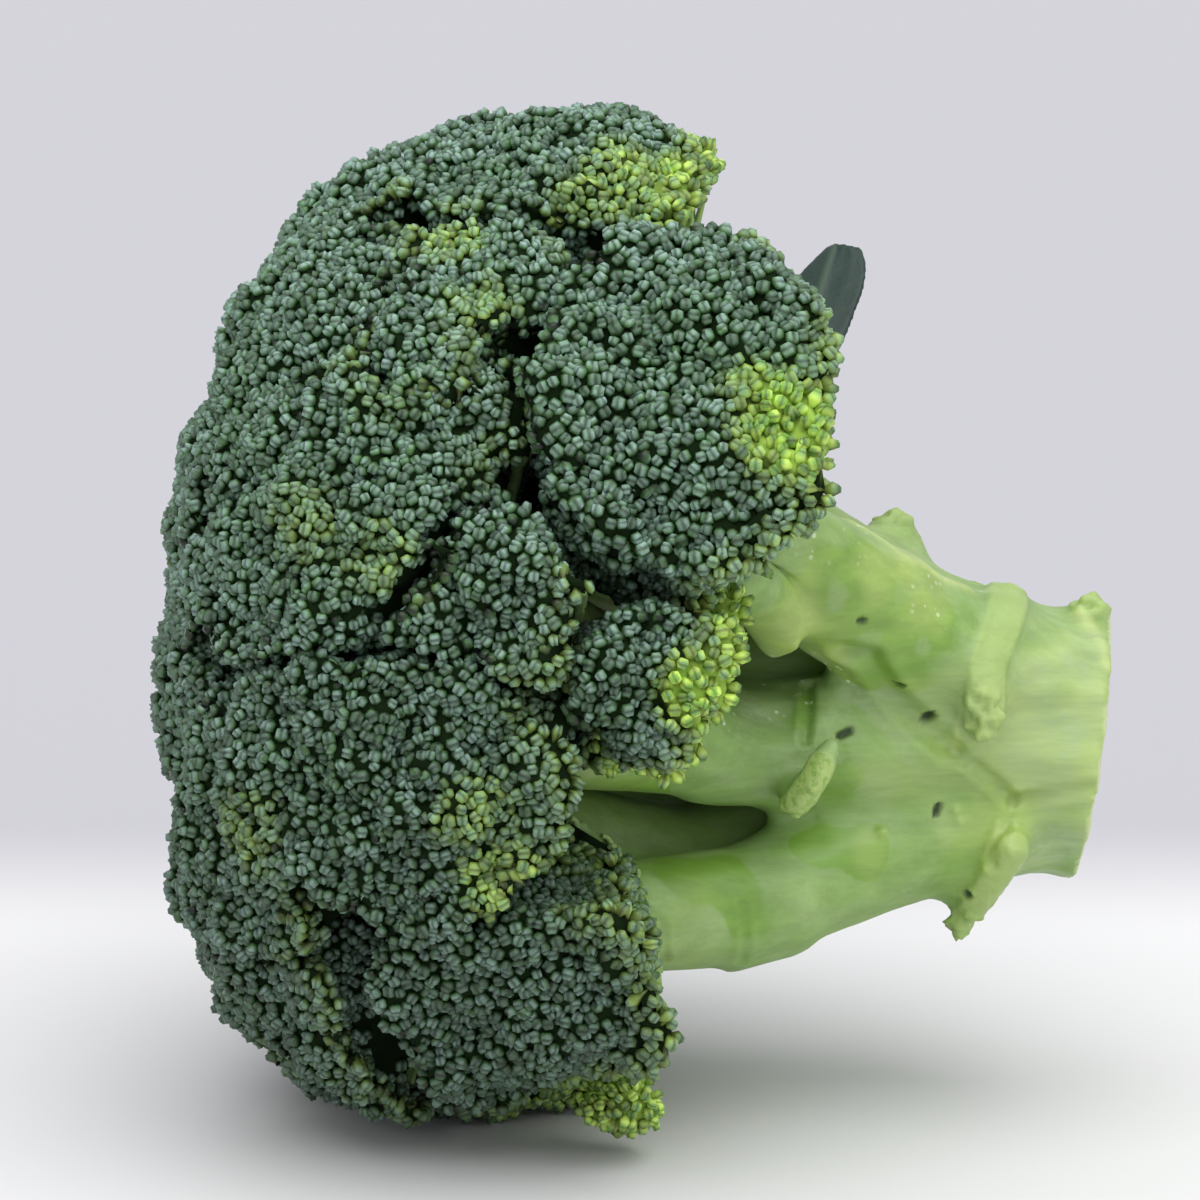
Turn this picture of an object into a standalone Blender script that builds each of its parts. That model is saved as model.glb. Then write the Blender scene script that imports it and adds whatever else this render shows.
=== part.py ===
"""A head of broccoli lying on its side.

A cut, forked stalk carries domed florets of buds, with two small leaves among them. Places are given in the
plant's own frame: millimetres along its axis from the middle of the cut, millimetres out from that axis, and
degrees round it, where 0 is up, 90 is towards the front (-Y) and 180 is down.
"""
import math
import random
from typing import NamedTuple

import bmesh
import bpy
import numpy as np
from mathutils import Vector

MM = 0.001

# How the head lies
AXIS_RISE = 7.5             # degrees by which the crown end is tipped up
CUT_HEIGHT = 60.5           # height of the middle of the cut over the surface
CENTRE_ALONG = 75.6         # place along the axis that comes over the origin
CENTRE_SIDE = -0.5          # moves the head sideways, so that its box is centred on the origin

# The crown's own outline, a rounded drum whose axis lies above the stalk's and is tipped up less
CROWN_RISE = 4.0
CROWN_RADIUS = 88.0
CROWN_DEPTH = 0.93          # its front-to-back size for its height
CROWN_LIFT = 9.5
CROWN_SHOULDER = 95.0       # along the axis, where the drum starts to round over
CROWN_ROUNDING = 57.5
CROWN_POWER = 3.0

# Florets
PIVOT_ALONG = 20.0          # the domes face away from this place on the axis
BALL = 1.25                 # size of a dome free of its neighbours, in radii
GAP = 0.4                   # air between neighbouring florets
NEIGHBOUR_REACH = 2.2       # planes further off than this many radii can't touch a floret
LEAF_GAP = 4.0              # wider air where the lower leaf lies between two florets
WALL_WEIGHT = 0.85          # part of a floret's radius that sets where it meets its neighbour
UNDERSIDE_DEPTH = 0.72      # where the cone under a floret comes to its point, in radii behind its middle
UNDERSIDE_SLOPE = 1.9       # how wide that cone opens, as a tangent
BUD_SPACING = 4.7           # bud clusters, larger than life
WALL_SPACING = 0.52         # plain facets where a floret faces its neighbours, in radii
WIDEST_FACET = 0.6          # radians between neighbouring directions
BUD_RISE = 1.25             # the middle of a bud cluster over the dome
BUD_DIP = 1.0               # the dip between three clusters under it
RIM_START = 0.8             # buds fade in where the walls are this many dome distances off, and are whole
RIM_WIDTH = 0.35            # this much further out
LOBE_SPACING = 19.0         # the swellings of a floret
LOBE_SHAKE = 0.16
LOBE_RISE = 2.6
LOBE_LEVEL = 0.55           # share of a lobe's rise that lies over the dome
LOBE_WIDTH = 0.62           # where a lobe has dropped by its whole rise, in lobe spacings
SMALL_FLORET = 20.0         # under this radius the relief shrinks with the floret
WALL_SHARPNESS = 12
DOME_SHARPNESS = 14
CANDIDATES = 2600           # directions tried on each floret

# Stalk
CUT_RADIUS = 24.0
TRUNK_TAPER = 5.0           # how much narrower the trunk is where the branches have parted
BRANCH_START = 6.0          # along the axis, inside the trunk
BRANCH_START_OUT = 0.36     # of the branch's own distance from the axis
BRANCH_START_LIMIT = 30.0
BRANCH_TURN = (0.55, 0.58)  # share of a branch's length and spread at its bend
TWIG_START = (0.8, 0.82)    # share of the branch's length and spread where its twigs leave it
TWIG_LEAN = 0.12            # how early a twig leans towards its floret
TWIG_ROOT = 1.3             # a twig's radius at its start, for its end
TWIG_THICKNESS = 0.28       # radius of a twig, in radii of its floret
TWIG_END = 0.15             # where a twig ends behind the floret's middle, in radii
PATH_STEPS = 5              # points on each span of a tube's path
VOXEL = 1.7
SOFTENING = 7               # rounds of smoothing over the joins
STALK_TRIANGLES = 3400
SOCKET_GAP = 0.6
SLIVER = 0.15               # points closer than this are joined after a cut

# Leaves
LEAF_THICKNESS = 1.2
LEAF_COLUMNS = 5            # points across a blade
LEAF_HALF_WIDTH = 7.0


class Floret(NamedTuple):
    """One domed bunch of buds: the place of its middle, its radius and the branch that feeds it.

    A small one may leave another twig, at its perch, and not the fork of its branch.
    """

    name: str
    along: float
    out: float
    around: float
    radius: float
    branch: str
    perch: tuple = ()


class Branch(NamedTuple):
    """A thick branch from the trunk to the place where it forks."""

    along: float
    out: float
    around: float
    root_radius: float
    fork_radius: float


FLORETS = (
    Floret("floret_top_rim", 95, 63, 9, 27, "top"),
    Floret("floret_top", 109, 54, 4, 28, "top"),
    Floret("floret_upper_left", 118, 49, 37, 28, "top"),
    Floret("floret_shoulder", 99, 57, 41, 27, "top"),
    Floret("floret_upper_front", 113, 53, 64, 27, "middle"),
    Floret("floret_crown_front", 124, 27, 60, 29, "core"),
    Floret("floret_middle_front", 100, 59, 70, 23, "middle"),
    Floret("floret_front", 104, 53, 93, 29, "middle"),
    Floret("floret_lower_left", 120, 40, 114, 28, "bottom"),
    Floret("floret_bottom", 109, 48, 140, 27.5, "bottom"),
    Floret("floret_lower_front", 88, 54, 130, 31, "lower"),
    Floret("floret_upper", 79.5, 60, 47, 34, "upper"),
    Floret("floret_small", 77, 62, 77, 16, "upper", (54, 37, 62)),
    Floret("floret_sprig", 70, 70, 147, 8, "lower", (74, 48, 135)),
    Floret("floret_under", 92, 43, 178, 27, "bottom"),
    Floret("floret_far_top", 100, 57, 331, 30, "far_up"),
    Floret("floret_far_upper", 86, 56, 300, 30, "far_up"),
    Floret("floret_far_shoulder", 117, 50, 318, 28, "far_up"),
    Floret("floret_far", 88, 54, 264, 31, "far"),
    Floret("floret_far_left", 117, 50, 272, 28.5, "far"),
    Floret("floret_far_low", 90, 50, 222, 30, "far_low"),
    Floret("floret_far_bottom", 114, 47, 205, 29, "far_low"),
    Floret("floret_crown_far", 124, 27, 250, 30, "core"),
    Floret("floret_crown_top", 120, 20, 350, 24, "core"),
)

LEAF_PAIR = ("floret_bottom", "floret_lower_front")

BRANCHES = {
    "top": Branch(62, 31, 10, 10.5, 10),
    "upper": Branch(48, 34, 45, 12.5, 11),
    "middle": Branch(68, 25, 99, 12, 10.5),
    "lower": Branch(60, 41.5, 143, 11.5, 9.5),
    "bottom": Branch(72, 31, 168, 12, 9.5),
    "core": Branch(84, 4, 20, 14, 11),
    "far_up": Branch(60, 32, 318, 12, 10),
    "far": Branch(64, 30, 266, 12, 10),
    "far_low": Branch(62, 33, 220, 12, 9.5),
}


def axes(degrees):
    """Directions along an axis that is tipped up by some degrees, and square to it."""
    rise = math.radians(degrees)
    along = np.array([-math.cos(rise), 0.0, math.sin(rise)])
    up = np.array([math.sin(rise), 0.0, math.cos(rise)])
    return along, up


AXIS, UP = axes(AXIS_RISE)
CROWN_AXIS, CROWN_UP = axes(CROWN_RISE)
FRONT = np.array([0.0, -1.0, 0.0])
CUT = np.array([CENTRE_ALONG * math.cos(math.radians(AXIS_RISE)), CENTRE_SIDE, CUT_HEIGHT])


def place(along, out, around):
    """World place in millimetres of a place given in the plant's frame."""
    turn = math.radians(around)
    return CUT + along * AXIS + out * (math.cos(turn) * UP + math.sin(turn) * FRONT)


def unit(vector):
    """The vector at length one."""
    return vector / np.linalg.norm(vector)


def smooth_min(rows, sharpness):
    """A minimum over the rows that rounds the corners between them."""
    return (sum(row ** -sharpness for row in rows)) ** (-1.0 / sharpness)


def middle(floret):
    """World place of a floret's middle."""
    return place(floret.along, floret.out, floret.around)


def facing(floret):
    """Direction in which a floret's dome faces."""
    return unit(middle(floret) - place(PIVOT_ALONG, CROWN_LIFT, 0))


def walls(floret):
    """Planes that part a floret from its neighbours, as outward normals and distances from its middle."""
    found = []
    own = middle(floret)
    own_weight = (WALL_WEIGHT * floret.radius) ** 2
    for other in FLORETS:
        if other is floret:
            continue
        span = middle(other) - own
        distance = np.linalg.norm(span)
        other_weight = (WALL_WEIGHT * other.radius) ** 2
        gap = LEAF_GAP if {floret.name, other.name} == set(LEAF_PAIR) else GAP
        reach = (distance ** 2 + own_weight - other_weight) / (2 * distance) - gap / 2
        if reach < NEIGHBOUR_REACH * floret.radius:
            found.append((span / distance, reach))
    return found


def ray_to_plane(directions, normal, distance):
    """Distance along each direction to a plane, or a very long way where it is never met."""
    speed = directions @ normal
    return np.where(speed > 1e-3, distance / np.maximum(speed, 1e-3), 1e4)


def ray_to_crown(start, directions):
    """Distance along each direction from inside the crown to its outline."""
    near = np.zeros(len(directions))
    far = np.full(len(directions), 200.0)
    for _ in range(24):
        half = (near + far) / 2
        spot = start + directions * half[:, None] - place(CROWN_SHOULDER, CROWN_LIFT, 0)
        depth = (spot @ FRONT) / CROWN_DEPTH
        outward = (np.hypot(spot @ CROWN_UP, depth) / CROWN_RADIUS) ** CROWN_POWER
        forward = (np.maximum(spot @ CROWN_AXIS, 0) / CROWN_ROUNDING) ** CROWN_POWER
        inside = outward + forward < 1
        near = np.where(inside, half, near)
        far = np.where(inside, far, half)
    return near


def spread_directions(count):
    """Directions spread evenly over a whole sphere."""
    steps = np.arange(count) + 0.5
    height = 1 - 2 * steps / count
    turn = steps * math.pi * (3 - math.sqrt(5))
    level = np.sqrt(1 - height ** 2)
    return np.column_stack((level * np.cos(turn), level * np.sin(turn), height))


class Dome:
    """The surface of one floret, as a distance from its middle in each direction."""

    def __init__(self, floret, seed):
        self.floret = floret
        self.middle = middle(floret)
        self.facing = facing(floret)
        self.walls = walls(floret)
        self.ground = self.middle[2]
        lobe_count = round(4 * math.pi * floret.radius ** 2 / LOBE_SPACING ** 2)
        lobes = spread_directions(max(lobe_count, 4))
        shake = np.random.default_rng(seed).normal(0, LOBE_SHAKE, lobes.shape)
        self.lobes = np.array([unit(lobe) for lobe in lobes + shake])

    def free(self, directions):
        """The dome as it would be with no neighbours."""
        crown = ray_to_crown(self.middle, directions)
        ball = np.full(len(directions), BALL * self.floret.radius)
        return smooth_min([crown, ball], DOME_SHARPNESS)

    def held(self, directions):
        """Distance to the nearest plane that holds the dome in."""
        ahead = directions @ self.facing
        sideways = np.sqrt(np.maximum(1 - ahead ** 2, 0))
        opening = sideways - ahead * UNDERSIDE_SLOPE
        point = UNDERSIDE_DEPTH * UNDERSIDE_SLOPE * self.floret.radius
        under = np.where(opening > 1e-3, point / np.maximum(opening, 1e-3), 1e4)
        planes = [ray_to_plane(directions, normal, reach) for normal, reach in self.walls]
        return smooth_min(planes + [under], WALL_SHARPNESS)

    def exposed(self, directions):
        """Which directions meet open air and not a wall or the underside."""
        return self.free(directions) < 1.04 * self.held(directions)

    def surface(self, directions, rise):
        """Distances with lobes and the given rise of the buds, kept inside the floret's own room."""
        free = self.free(directions)
        held = self.held(directions)
        base = smooth_min([free, held], WALL_SHARPNESS)
        share = np.clip((held / free - RIM_START) / RIM_WIDTH, 0, 1)
        nearest = np.min(np.arccos(np.clip(directions @ self.lobes.T, -1, 1)), axis=1) * self.floret.radius
        lobe = LOBE_RISE * (LOBE_LEVEL - (nearest / (LOBE_WIDTH * LOBE_SPACING)) ** 2)
        size = min(1.0, self.floret.radius / SMALL_FLORET)
        radius = base + share * size * (lobe + rise)
        for normal, reach in self.walls:
            radius = np.minimum(radius, ray_to_plane(directions, normal, reach))
        return np.minimum(radius, ray_to_plane(directions, np.array([0.0, 0.0, -1.0]), self.ground))


def pick_buds(dome, seed):
    """Directions of the bud clusters and wall points, kept apart by their own spacing."""
    candidates = spread_directions(CANDIDATES)
    order = list(range(CANDIDATES))
    random.Random(seed).shuffle(order)
    open_air = dome.exposed(candidates)
    points = candidates * dome.surface(candidates, 0)[:, None]
    kept = []
    for index in order:
        spacing = BUD_SPACING if open_air[index] else WALL_SPACING * dome.floret.radius
        if kept:
            apart = np.linalg.norm(points[kept] - points[index], axis=1) / spacing
            turned = np.linalg.norm(candidates[kept] - candidates[index], axis=1) / WIDEST_FACET
            if np.maximum(apart, turned).min() < 1:
                continue
        kept.append(index)
    return candidates[kept], open_air[kept]


def hull_triangles(directions):
    """Triangles that join directions on the sphere, each counter-clockwise from outside."""
    mesh = bmesh.new()
    verts = [mesh.verts.new(Vector(direction)) for direction in directions]
    for index, vert in enumerate(verts):
        vert.index = index
    bmesh.ops.convex_hull(mesh, input=verts)
    bmesh.ops.triangulate(mesh, faces=mesh.faces[:])
    triangles = []
    for face in mesh.faces:
        corners = [vert.index for vert in face.verts]
        a, b, c = (directions[corner] for corner in corners)
        if np.dot(np.cross(b - a, c - a), a) < 0:
            corners.reverse()
        triangles.append(corners)
    mesh.free()
    return triangles


def bud_faces(triangles, directions, open_air):
    """Faces that give each exposed direction a bud, with a dip wherever three buds meet."""
    dips = []
    dip_of = {}
    for number, (a, b, c) in enumerate(triangles):
        if open_air[a] and open_air[b] and open_air[c]:
            normal = np.cross(directions[b] - directions[a], directions[c] - directions[a])
            dip_of[number] = len(directions) + len(dips)
            dips.append(unit(normal))
    sides = {}
    for number, corners in enumerate(triangles):
        for step in range(3):
            sides[corners[step], corners[(step + 1) % 3]] = number
    faces = [corners for number, corners in enumerate(triangles) if number not in dip_of]
    for (a, b), number in sides.items():
        across = sides[b, a]
        if number not in dip_of:
            continue
        if across in dip_of:
            faces.append([a, dip_of[across], dip_of[number]])
        else:
            faces.append([a, b, dip_of[number]])
    return dips, faces


def make_object(name, points, faces, material):
    """A mesh object from points in millimetres."""
    mesh = bpy.data.meshes.new(name)
    mesh.from_pydata([tuple(point * MM) for point in points], [], faces)
    mesh.update()
    obj = bpy.data.objects.new(name, mesh)
    bpy.context.scene.collection.objects.link(obj)
    mesh.materials.append(material)
    return obj


def finish_material(name, colour, roughness):
    """A Principled material of one colour."""
    material = bpy.data.materials.new(name)
    material.use_nodes = True
    shader = material.node_tree.nodes["Principled BSDF"]
    shader.inputs["Base Color"].default_value = (*colour, 1)
    shader.inputs["Roughness"].default_value = roughness
    shader.inputs["Metallic"].default_value = 0
    return material


def make_floret(floret, seed, material):
    """A floret as a closed solid with raised buds over its dome."""
    dome = Dome(floret, seed)
    directions, open_air = pick_buds(dome, seed)
    triangles = hull_triangles(directions)
    dips, faces = bud_faces(triangles, directions, open_air)
    rises = np.where(open_air, BUD_RISE, 0)
    tops = directions * dome.surface(directions, rises)[:, None]
    points = [dome.middle + top for top in tops]
    if dips:
        lows = np.array(dips)
        lows = lows * dome.surface(lows, np.full(len(lows), -BUD_DIP))[:, None]
        points += [dome.middle + low for low in lows]
    return make_object(floret.name, points, faces, material)


def make_tube(points, radii):
    """A round tube through the points, as a curve with closed ends."""
    curve = bpy.data.curves.new("tube", "CURVE")
    curve.dimensions = "3D"
    curve.bevel_depth = 1.0
    curve.bevel_resolution = 4
    curve.use_fill_caps = True
    spline = curve.splines.new("POLY")
    spline.points.add(len(points) - 1)
    for spot, point, radius in zip(spline.points, points, radii):
        spot.co = (*(point * MM), 1)
        spot.radius = radius * MM
    obj = bpy.data.objects.new("tube", curve)
    bpy.context.scene.collection.objects.link(obj)
    return obj


def bend(points, steps):
    """A smooth path through points by Catmull-Rom spans, each cut in the given number of steps."""
    ends = [2 * points[0] - points[1]] + list(points) + [2 * points[-1] - points[-2]]
    path = []
    for index in range(1, len(ends) - 2):
        a, b, c, d = ends[index - 1:index + 3]
        for step in range(steps):
            t = step / steps
            path.append(0.5 * (2 * b + (c - a) * t + (2 * a - 5 * b + 4 * c - d) * t ** 2
                               + (3 * b - a - 3 * c + d) * t ** 3))
    path.append(points[-1])
    return path


def tapered(points, start_radius, end_radius):
    """A tube along a smooth path, from one radius to the other."""
    path = bend(points, PATH_STEPS)
    radii = np.linspace(start_radius, end_radius, len(path))
    return make_tube(path, radii)


def trunk_tubes():
    """The trunk, which runs past the cut so that it can be trimmed flat."""
    cut_end = [place(-8, 0, 0), place(12, 0.5, 90), place(34, 2, 60)]
    return [tapered(cut_end, CUT_RADIUS + 0.5, CUT_RADIUS - TRUNK_TAPER)]


def branch_tubes():
    """The thick branches, fanned out from the trunk."""
    tubes = []
    for branch in BRANCHES.values():
        start_out = min(branch.out, BRANCH_START_LIMIT) * BRANCH_START_OUT
        start = place(BRANCH_START, start_out, branch.around)
        turn = place(BRANCH_TURN[0] * branch.along, BRANCH_TURN[1] * branch.out, branch.around)
        fork = place(branch.along, branch.out, branch.around)
        tubes.append(tapered([start, turn, fork], branch.root_radius, branch.fork_radius))
    return tubes


def twig_tubes():
    """Twigs from each fork into the florets that it feeds."""
    tubes = []
    for floret in FLORETS:
        branch = BRANCHES[floret.branch]
        fork = place(branch.along, branch.out, branch.around)
        end = middle(floret) - TWIG_END * floret.radius * facing(floret)
        thick = TWIG_THICKNESS * floret.radius
        if floret.perch:
            start = place(*floret.perch)
            half_way = (start + end) / 2
        else:
            start = place(TWIG_START[0] * branch.along, TWIG_START[1] * branch.out, branch.around)
            half_way = (fork + start) / 2 + (end - fork) * TWIG_LEAN
        tubes.append(tapered([start, half_way, end], TWIG_ROOT * thick, thick))
    return tubes


def scar_tubes():
    """Ridges and stubs that the cut-off leaves left on the stalk."""
    upper_scar = [place(17.5, 23.5, 10), place(18.5, 27.0, 36), place(21, 28.0, 60), place(20, 27.5, 84)]
    lower_scar = [place(12, 26.5, 118), place(15, 28.5, 138), place(19, 34.0, 160)]
    middle_stub = [place(44, 33.0, 86), place(46.5, 35.0, 98), place(50, 34.0, 110)]
    top_stub = [place(32, 22.0, 354), place(35.5, 29.0, 352), place(38.3, 34.0, 352)]
    torn_end = [place(5, 22.5, 8), place(2, 24.5, 14)]
    return [
        tapered(upper_scar, 3.4, 3.2),
        tapered(lower_scar, 3.4, 2.6),
        tapered(middle_stub, 2.6, 3.2),
        tapered(top_stub, 4.4, 3.6),
        tapered(torn_end, 2.8, 3.2),
    ]


def evaluated_mesh(obj):
    """The object's mesh with its modifiers applied."""
    bpy.context.view_layer.update()
    graph = bpy.context.evaluated_depsgraph_get()
    return bpy.data.meshes.new_from_object(obj.evaluated_get(graph))


def joined_mesh(objects, name):
    """One object that holds all the given objects' meshes, which are removed."""
    builder = bmesh.new()
    for obj in objects:
        piece = evaluated_mesh(obj)
        builder.from_mesh(piece)
        bpy.data.objects.remove(obj)
        bpy.data.meshes.remove(piece)
    mesh = bpy.data.meshes.new(name)
    builder.to_mesh(mesh)
    builder.free()
    whole = bpy.data.objects.new(name, mesh)
    bpy.context.scene.collection.objects.link(whole)
    return whole


def add_remesh(obj, voxel):
    """A Remesh modifier that joins crossing bodies into one skin."""
    remesh = obj.modifiers.new("Join", "REMESH")
    remesh.mode = "VOXEL"
    remesh.voxel_size = voxel * MM


def apply_modifiers(obj):
    """Replace the object's mesh by what its modifiers make of it."""
    mesh = evaluated_mesh(obj)
    obj.modifiers.clear()
    obj.data = mesh


def keep_largest(obj):
    """Drop every loose scrap but the largest body."""
    builder = bmesh.new()
    builder.from_mesh(obj.data)
    builder.verts.ensure_lookup_table()
    unseen = set(builder.verts)
    bodies = []
    while unseen:
        front = [unseen.pop()]
        body = set(front)
        while front:
            vert = front.pop()
            for edge in vert.link_edges:
                other = edge.other_vert(vert)
                if other in unseen:
                    unseen.discard(other)
                    body.add(other)
                    front.append(other)
        bodies.append(body)
    largest = max(bodies, key=len)
    scraps = [vert for vert in builder.verts if vert not in largest]
    bmesh.ops.delete(builder, geom=scraps, context="VERTS")
    builder.to_mesh(obj.data)
    builder.free()


def trim_cut(obj):
    """Cut the trunk flat at its base and close the face."""
    builder = bmesh.new()
    builder.from_mesh(obj.data)
    everything = builder.verts[:] + builder.edges[:] + builder.faces[:]
    bmesh.ops.bisect_plane(builder, geom=everything, dist=1e-7, plane_co=Vector(CUT * MM),
                           plane_no=Vector(-AXIS), clear_outer=True)
    rim = [edge for edge in builder.edges if edge.is_boundary]
    bmesh.ops.edgeloop_fill(builder, edges=rim)
    bmesh.ops.triangulate(builder, faces=[face for face in builder.faces if len(face.verts) > 3])
    bmesh.ops.recalc_face_normals(builder, faces=builder.faces[:])
    builder.to_mesh(obj.data)
    builder.free()


def make_stalk(material):
    """The trunk, branches, twigs and leaf scars as one fused body."""
    stalk = joined_mesh(trunk_tubes() + branch_tubes() + twig_tubes() + scar_tubes(), "stalk")
    add_remesh(stalk, VOXEL)
    soften = stalk.modifiers.new("Soften", "SMOOTH")
    soften.factor = 0.5
    soften.iterations = SOFTENING
    apply_modifiers(stalk)
    keep_largest(stalk)
    thin = stalk.modifiers.new("Thin", "DECIMATE")
    thin.ratio = STALK_TRIANGLES / (2 * len(stalk.data.polygons))
    apply_modifiers(stalk)
    trim_cut(stalk)
    stalk.data.materials.append(material)
    return stalk


def make_socket_cutter(stalk):
    """The stalk grown by the gap that the florets keep to it."""
    cutter = stalk.copy()
    cutter.data = stalk.data.copy()
    cutter.name = "socket_cutter"
    bpy.context.scene.collection.objects.link(cutter)
    grow = cutter.modifiers.new("Grow", "DISPLACE")
    grow.mid_level = 0
    grow.strength = SOCKET_GAP * MM
    apply_modifiers(cutter)
    cutter.hide_render = True
    cutter.display_type = "WIRE"
    return cutter


def drop_slivers(obj):
    """Join points that nearly touch, with the needle triangles between them."""
    builder = bmesh.new()
    builder.from_mesh(obj.data)
    bmesh.ops.remove_doubles(builder, verts=builder.verts[:], dist=SLIVER * MM)
    bmesh.ops.dissolve_degenerate(builder, edges=builder.edges[:], dist=SLIVER * MM)
    bmesh.ops.triangulate(builder, faces=[face for face in builder.faces if len(face.verts) > 3])
    builder.to_mesh(obj.data)
    builder.free()


def cut_socket(obj, cutter):
    """Open a floret or a leaf where the stalk runs into it."""
    cut = obj.modifiers.new("Socket", "BOOLEAN")
    cut.operation = "DIFFERENCE"
    cut.solver = "MANIFOLD"
    cut.object = cutter
    apply_modifiers(obj)
    keep_largest(obj)
    drop_slivers(obj)


def blade_width(share):
    """Half width of a blade at a share of its length, narrow at the foot and blunt at the tip."""
    return LEAF_HALF_WIDTH * math.sin(math.pi * (0.12 + 0.68 * share)) ** 0.6


def make_leaf(name, spine, side, waves, material):
    """A thin arched blade along a spine, split into triangles alike on both faces."""
    rows = len(spine)
    columns = LEAF_COLUMNS
    points = []
    for level in (0.5, -0.5):
        for row, spot in enumerate(spine):
            share = row / (rows - 1)
            ahead = spine[min(row + 1, rows - 1)] - spine[max(row - 1, 0)]
            normal = unit(np.cross(unit(ahead), side))
            for column in range(columns):
                across = 2 * column / (columns - 1) - 1
                arch = waves * across ** 2 + 0.5 * waves * across * math.sin(6 * share)
                over = arch + level * LEAF_THICKNESS
                points.append(spot + side * across * blade_width(share) + normal * over)
    layer = rows * columns
    faces = []
    for row in range(rows - 1):
        for column in range(columns - 1):
            a = row * columns + column
            b, c, d = a + 1, a + columns + 1, a + columns
            faces += [[a, b, c], [a, c, d], [layer + a, layer + c, layer + b], [layer + a, layer + d, layer + c]]
    rim = list(range(columns))
    rim += [row * columns + columns - 1 for row in range(1, rows)]
    rim += [(rows - 1) * columns + column for column in range(columns - 2, -1, -1)]
    rim += [row * columns for row in range(rows - 2, 0, -1)]
    for a, b in zip(rim, rim[1:] + rim[:1]):
        faces += [[a, layer + a, layer + b], [a, layer + b, b]]
    leaf = make_object(name, points, faces, material)
    builder = bmesh.new()
    builder.from_mesh(leaf.data)
    bmesh.ops.recalc_face_normals(builder, faces=builder.faces[:])
    builder.to_mesh(leaf.data)
    builder.free()
    return leaf


def make_leaves(material):
    """The leaf that shows behind the upper floret and the one between the two lowest front florets."""
    rear_spine = bend([place(56, 43, 32), place(60, 54, 18), place(55.5, 66, 5), place(51, 76.5, -2)], 4)
    rear = make_leaf("leaf_rear", rear_spine, unit(-AXIS * 0.9 + FRONT * 0.4), 1.2, material)
    first, second = (next(floret for floret in FLORETS if floret.name == name) for name in LEAF_PAIR)
    between = unit(middle(second) - middle(first))
    reach = next(distance for normal, distance in walls(first) if np.dot(normal, between) > 0.999)
    start = middle(first) + between * (reach + LEAF_GAP / 2)
    outward = unit(start - place(PIVOT_ALONG, 0, 0))
    outward = unit(outward - np.dot(outward, between) * between)
    side = np.cross(between, outward)
    low_spine = [start + outward * step for step in np.linspace(5, 22, 7)]
    low = make_leaf("leaf_low", low_spine, side, 0.25, material)
    return [rear, low]


def shade(obj):
    """Smooth shading with sharp edges kept where the surface turns hard."""
    obj.data.shade_smooth()
    obj.data.set_sharp_from_angle(angle=math.radians(50))


def build():
    """Make every piece of the head."""
    for obj in list(bpy.data.objects):
        bpy.data.objects.remove(obj)
    stalk_finish = finish_material("stalk_green", (0.24, 0.38, 0.11), 0.42)
    bud_finish = finish_material("bud_green", (0.05, 0.10, 0.055), 0.62)
    leaf_finish = finish_material("leaf_green", (0.03, 0.06, 0.045), 0.5)
    stalk = make_stalk(stalk_finish)
    cutter = make_socket_cutter(stalk)
    florets = []
    for number, floret in enumerate(FLORETS):
        solid = make_floret(floret, number + 1, bud_finish)
        cut_socket(solid, cutter)
        florets.append(solid)
    leaves = make_leaves(leaf_finish)
    for leaf in leaves:
        cut_socket(leaf, cutter)
    bpy.data.objects.remove(cutter)
    for obj in [stalk] + florets + leaves:
        shade(obj)


build()
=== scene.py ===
"""A head of broccoli on its side: buds, pedicels, stalk and leaves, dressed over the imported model.

Places on the plant are given in its own frame, as (along, out, around): millimetres along its axis from the
middle of the cut, millimetres out from that axis, and degrees round it, where 0 is up, 90 is the front and
180 is down.
"""

import logging
import math
from dataclasses import dataclass, field
from enum import Enum

import bmesh
import bpy
import numpy as np
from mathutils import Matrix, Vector, noise
from mathutils.bvhtree import BVHTree
from mathutils.kdtree import KDTree


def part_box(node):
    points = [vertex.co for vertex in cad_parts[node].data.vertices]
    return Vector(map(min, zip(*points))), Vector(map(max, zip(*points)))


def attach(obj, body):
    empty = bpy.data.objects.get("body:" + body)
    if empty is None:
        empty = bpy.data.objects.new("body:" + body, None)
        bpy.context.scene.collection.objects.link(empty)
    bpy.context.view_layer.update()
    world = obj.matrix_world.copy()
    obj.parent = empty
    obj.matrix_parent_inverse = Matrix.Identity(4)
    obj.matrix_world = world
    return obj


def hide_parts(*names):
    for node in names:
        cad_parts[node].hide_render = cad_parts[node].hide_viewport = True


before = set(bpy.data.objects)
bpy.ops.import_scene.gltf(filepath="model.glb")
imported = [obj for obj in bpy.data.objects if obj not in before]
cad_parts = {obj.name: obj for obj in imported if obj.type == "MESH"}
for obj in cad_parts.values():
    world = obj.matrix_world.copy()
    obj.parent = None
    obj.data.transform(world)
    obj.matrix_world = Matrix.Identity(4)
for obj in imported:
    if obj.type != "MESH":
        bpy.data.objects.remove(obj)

LOG = logging.getLogger("broccoli")
MM = 0.001
BODY = "root"
Place = tuple[float, float, float]
Colour = tuple[float, float, float]


def rgba(colour: Colour) -> tuple[float, float, float, float]:
    """The colour with an alpha of one."""
    return (*colour, 1.0)


def smooth_step(values: np.ndarray, low: float, high: float) -> np.ndarray:
    """A smooth rise from 0 at low to 1 at high.

    Args:
        values: numbers to map.
        low: value that gives 0.
        high: value that gives 1, which may be below low.

    Returns:
        The mapped numbers.
    """
    share = np.clip((values - low) / (high - low), 0, 1)
    return share * share * (3 - 2 * share)


def bell(values: np.ndarray, middle: float = 0.0, width: float = 1.0) -> np.ndarray:
    """A smooth hump of height 1.

    Args:
        values: numbers to map.
        middle: value that gives 1.
        width: how far from the middle it falls to about a third.

    Returns:
        The mapped numbers.
    """
    return np.exp(-((values - middle) / width) ** 2)


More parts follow.
